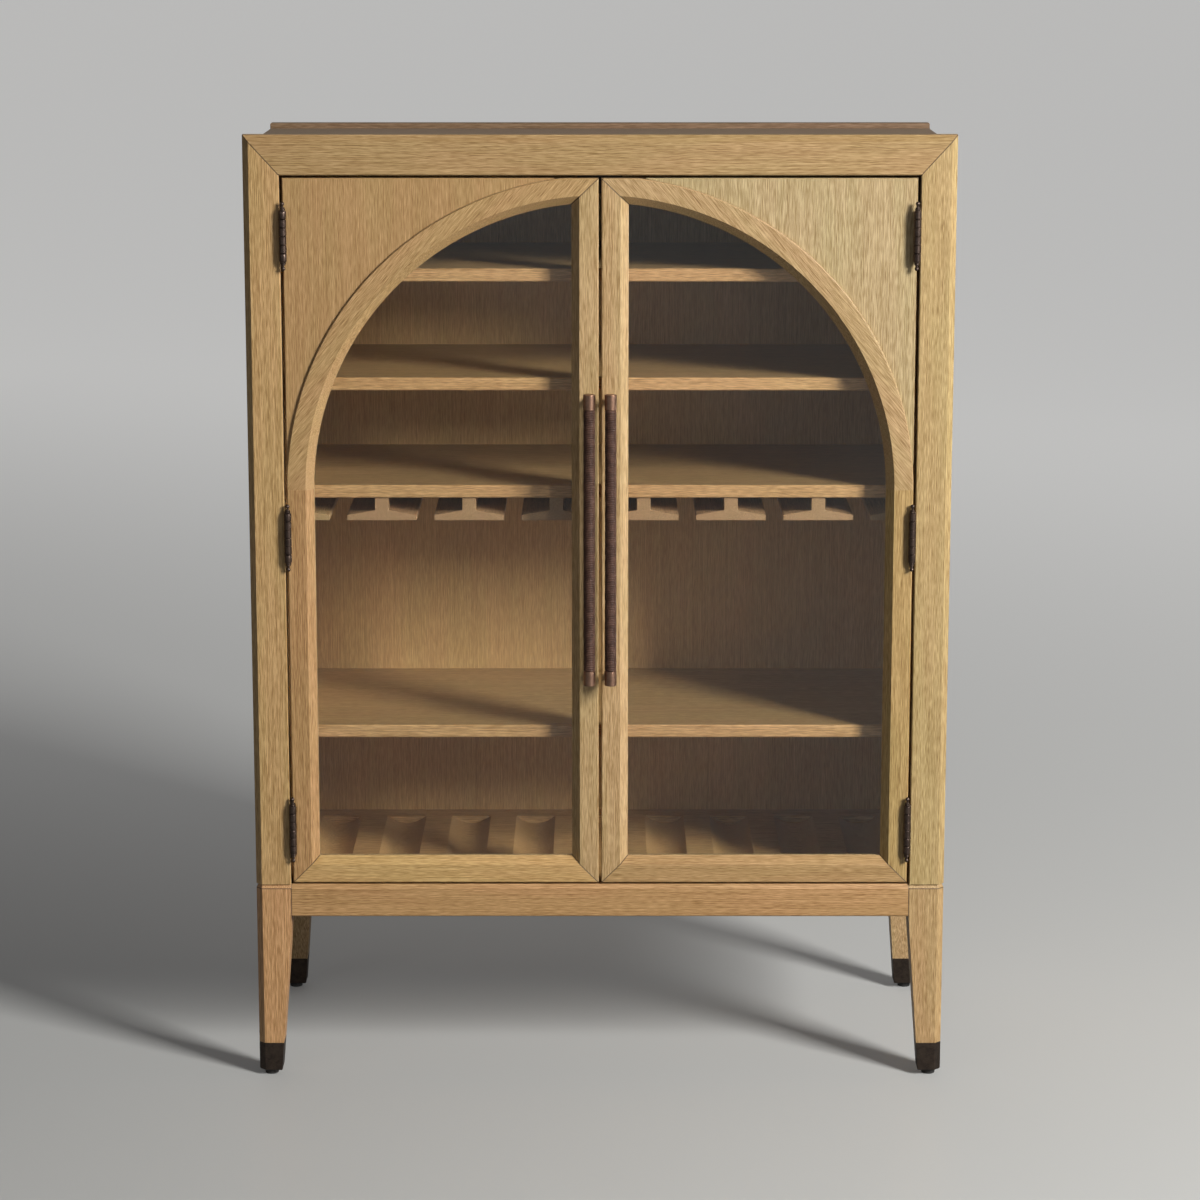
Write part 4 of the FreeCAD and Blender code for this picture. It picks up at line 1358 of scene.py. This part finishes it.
def pinPiece(name):
    # one pin on each side, at the lowest hinges
    half = leafLength / 2
    edge, lip = hinge["finialEdge"], hinge["finialLip"]
    parts = [(hinge["pin"], 0.0), (hinge["pin"], half)]
    height = half
    for radius, rise in (hinge["collar"], hinge["bead"]):
        parts += [(radius - edge, height + lip), (radius, height + edge), (radius, height + rise - edge),
                  (radius - edge, height + rise - lip)]
        height += rise
    neck, rise = hinge["neck"]
    parts += [(neck, height), (neck, height + rise)]
    height += rise
    ball = hinge["ball"]
    start = math.asin(neck / ball)
    middle = height + ball * math.cos(start)
    steps = hinge["ballSteps"]
    for step in range(1, steps + 1):
        turn = start + (math.pi - start) * step / steps
        parts.append((ball * math.sin(turn) if step < steps else 0, middle - ball * math.cos(turn)))
    profile = [(radius, -height) for radius, height in reversed(parts[1:])] + parts[1:]
    work = bmesh.new()
    for sign in (1, -1):
        base = Vector((sign * hinge["x"], hinge["y"], hingeLow + half))
        addTurned(work, profile, base, upwards, hinge["segments"])
    return finished(work, name)


def atEachHinge(node, piece, count=1, step=0.0):
    # what belongs to the lowest hinge, repeated up to the highest one
    piece = inRows(piece, bronzeMaterial, count, (0, 0, step), hinge["count"], (0, 0, hingeRise))
    dressed(piece, bronzeMaterial, "bronze", node)


def caseHinges():
    inside = opening - hinge["leafThickness"]
    ends = ((0, 1), (hinge["rings"] - 1, hinge["rings"]))
    right = leafPiece("case_hinge_leaves_bronze", 1, inside, opening, (inside, 1), ends)
    left = leafPiece("left", -1, inside, opening, (inside, 1), ends)
    atEachHinge("case_hinge_leaves", joined(right, left, "UNION"))
    screws = screwPiece("case_hinge_screws_bronze", ((inside, 1), (-inside, -1)))
    atEachHinge("case_hinge_screws", screws, screw["count"], screw["step"])
    atEachHinge("hinge_pins", softened(pinPiece("hinge_pins_bronze"), hinge["pinEdge"], 1))


def doorHinges(side, sign):
    outer = doorOuter + hinge["leafThickness"]
    node = side + "_door_hinge_leaves"
    leaves = leafPiece(node + "_bronze", sign, doorOuter, outer, (outer, -1), ((1, hinge["rings"] - 1),))
    atEachHinge(node, leaves)
    node = side + "_door_hinge_screws"
    screws = screwPiece(node + "_bronze", ((sign * outer, -sign),))
    atEachHinge(node, screws, screw["count"], screw["step"])


caseHinges()
for side, sign in sides:
    doorHinges(side, sign)
print("hinges made")


# Pulls: a turned bar between two posts, wound with leather lace, and bolted through the stile

pull = {
    "radius": 8.7,
    "core": 6.0,
    "post": 5.0,
    "postSegments": 40,
    "edge": 0.2,
    "capEdge": 0.9,
    "capRound": 0.3,       # share of the cap's edge that its round cuts off
    "capLip": 0.3,
    "ringPlace": 2.4,      # from the cap's inner end
    "ringDepth": 0.45,
    "ringHalf": 0.5,
    "segments": 64,
    "lacePitch": 2.6,
    "laceWidth": 0.97,     # share of the pitch
    "laceThickness": 1.4,
    "laceSteps": 28,
    "sleeve": (6.1, 7.6),
    "wrapRadius": 8.45,
}
bolt = {
    "radius": 2.0,
    "head": 4.0,
    "headHeight": 2.5,
    "dome": ((0.0, 1.2), (0.35, 0.55), (1.0, 0.15), (1.6, 0.0)),      # in from the rim, down from the top
    "length": 31.0,
    "segments": 32,
}
fittingEdge = 0.3
pullX = sum(span("right_pull")[0]) / 2
pullY = span("right_pull")[1][0] + pull["radius"]
pullLow, pullHigh = span("right_pull")[2]
wrapLow, wrapHigh = span("right_pull_wrap")[2]
capLength = wrapLow - pullLow


def pullBar(side, sign):
    radius, edge, lip, half = pull["radius"], pull["capEdge"], pull["capLip"], pull["ringHalf"]
    cut = edge * pull["capRound"]
    ring = capLength - pull["ringPlace"]
    ends = [(0, 0), (radius - edge, 0), (radius - cut, cut), (radius, edge),
            (radius, ring - half), (radius - pull["ringDepth"], ring), (radius, ring + half),
            (radius, capLength - lip), (radius - lip, capLength), (pull["core"], capLength)]
    length = pullHigh - pullLow
    profile = ends + [(r, length - at) for r, at in reversed(ends)]
    base = Vector((sign * pullX, pullY, pullLow))
    bar = turned(side + "_pull_bar", profile, base, upwards, pull["segments"])
    reach = faceFront - pullY
    post = [(0, 0), (pull["post"], 0), (pull["post"], reach), (0, reach)]
    for height in (pullLow + capLength / 2, pullHigh - capLength / 2):
        start = Vector((sign * pullX, faceFront, height))
        bar = joined(bar, turned("post", post, start, towardsFront, pull["postSegments"]), "UNION")
    dressed(softened(bar, pull["edge"]), pullMaterial, "pull_bronze", side + "_pull")


def pullWrap(side, sign):
    inner, outer = pull["sleeve"]
    height = wrapHigh - wrapLow
    base = Vector((sign * pullX, pullY, wrapLow))
    tube = [(inner, 0), (outer, 0), (outer, height), (inner, height), (inner, 0)]
    sleeve = turned(side + "_pull_leather", tube, base, upwards, pull["segments"])
    thick, pitch = pull["laceThickness"], pull["lacePitch"]
    wrap = repeated(sleeve, woundLace, {
        "Base": (sign * pullX * mm, pullY * mm, (wrapLow + pitch / 2) * mm),
        "Radius": (pull["wrapRadius"] - thick / 2) * mm, "Height": (height - pitch) * mm,
        "Turns": (height - pitch) / pitch, "Steps": pull["laceSteps"],
        "Section": (thick / 2 * mm, pitch * pull["laceWidth"] / 2 * mm, 1.0), "Material": leatherMaterial})
    for polygon in wrap.data.polygons:
        polygon.use_smooth = True
    dressed(wrap, leatherMaterial, "leather", side + "_pull_wrap")


def pullBolts(side, sign):
    head, rise = bolt["head"], bolt["headHeight"]
    end = bolt["length"] + rise
    base = Vector((sign * pullX, faceBack + rise, pullLow + capLength / 2))
    profile = [(0, end), (bolt["radius"], end), (bolt["radius"], rise), (head, rise)]
    profile += [(head - inwards, down) for inwards, down in bolt["dome"]]
    work = bmesh.new()
    addCrossHead(work, profile, base, towardsFront, bolt["segments"])
    piece = finished(work, side + "_pull_bolts_steel")
    piece = inRows(piece, steelMaterial, 2, (0, 0, pullHigh - pullLow - capLength))
    dressed(piece, steelMaterial, "steel", side + "_pull_bolts")


for side, sign in sides:
    pullBar(side, sign)
    pullWrap(side, sign)
    pullBolts(side, sign)
    softCopy(side + "_strike_plate", side + "_strike_plate_steel", steelMaterial, "steel", fittingEdge)
softCopy("shelf_pins", "shelf_pins_steel", steelMaterial, "steel", fittingEdge)
softCopy("door_catch", "door_catch_body", plasticMaterial, "catch_plastic")
print("pulls and catch made")
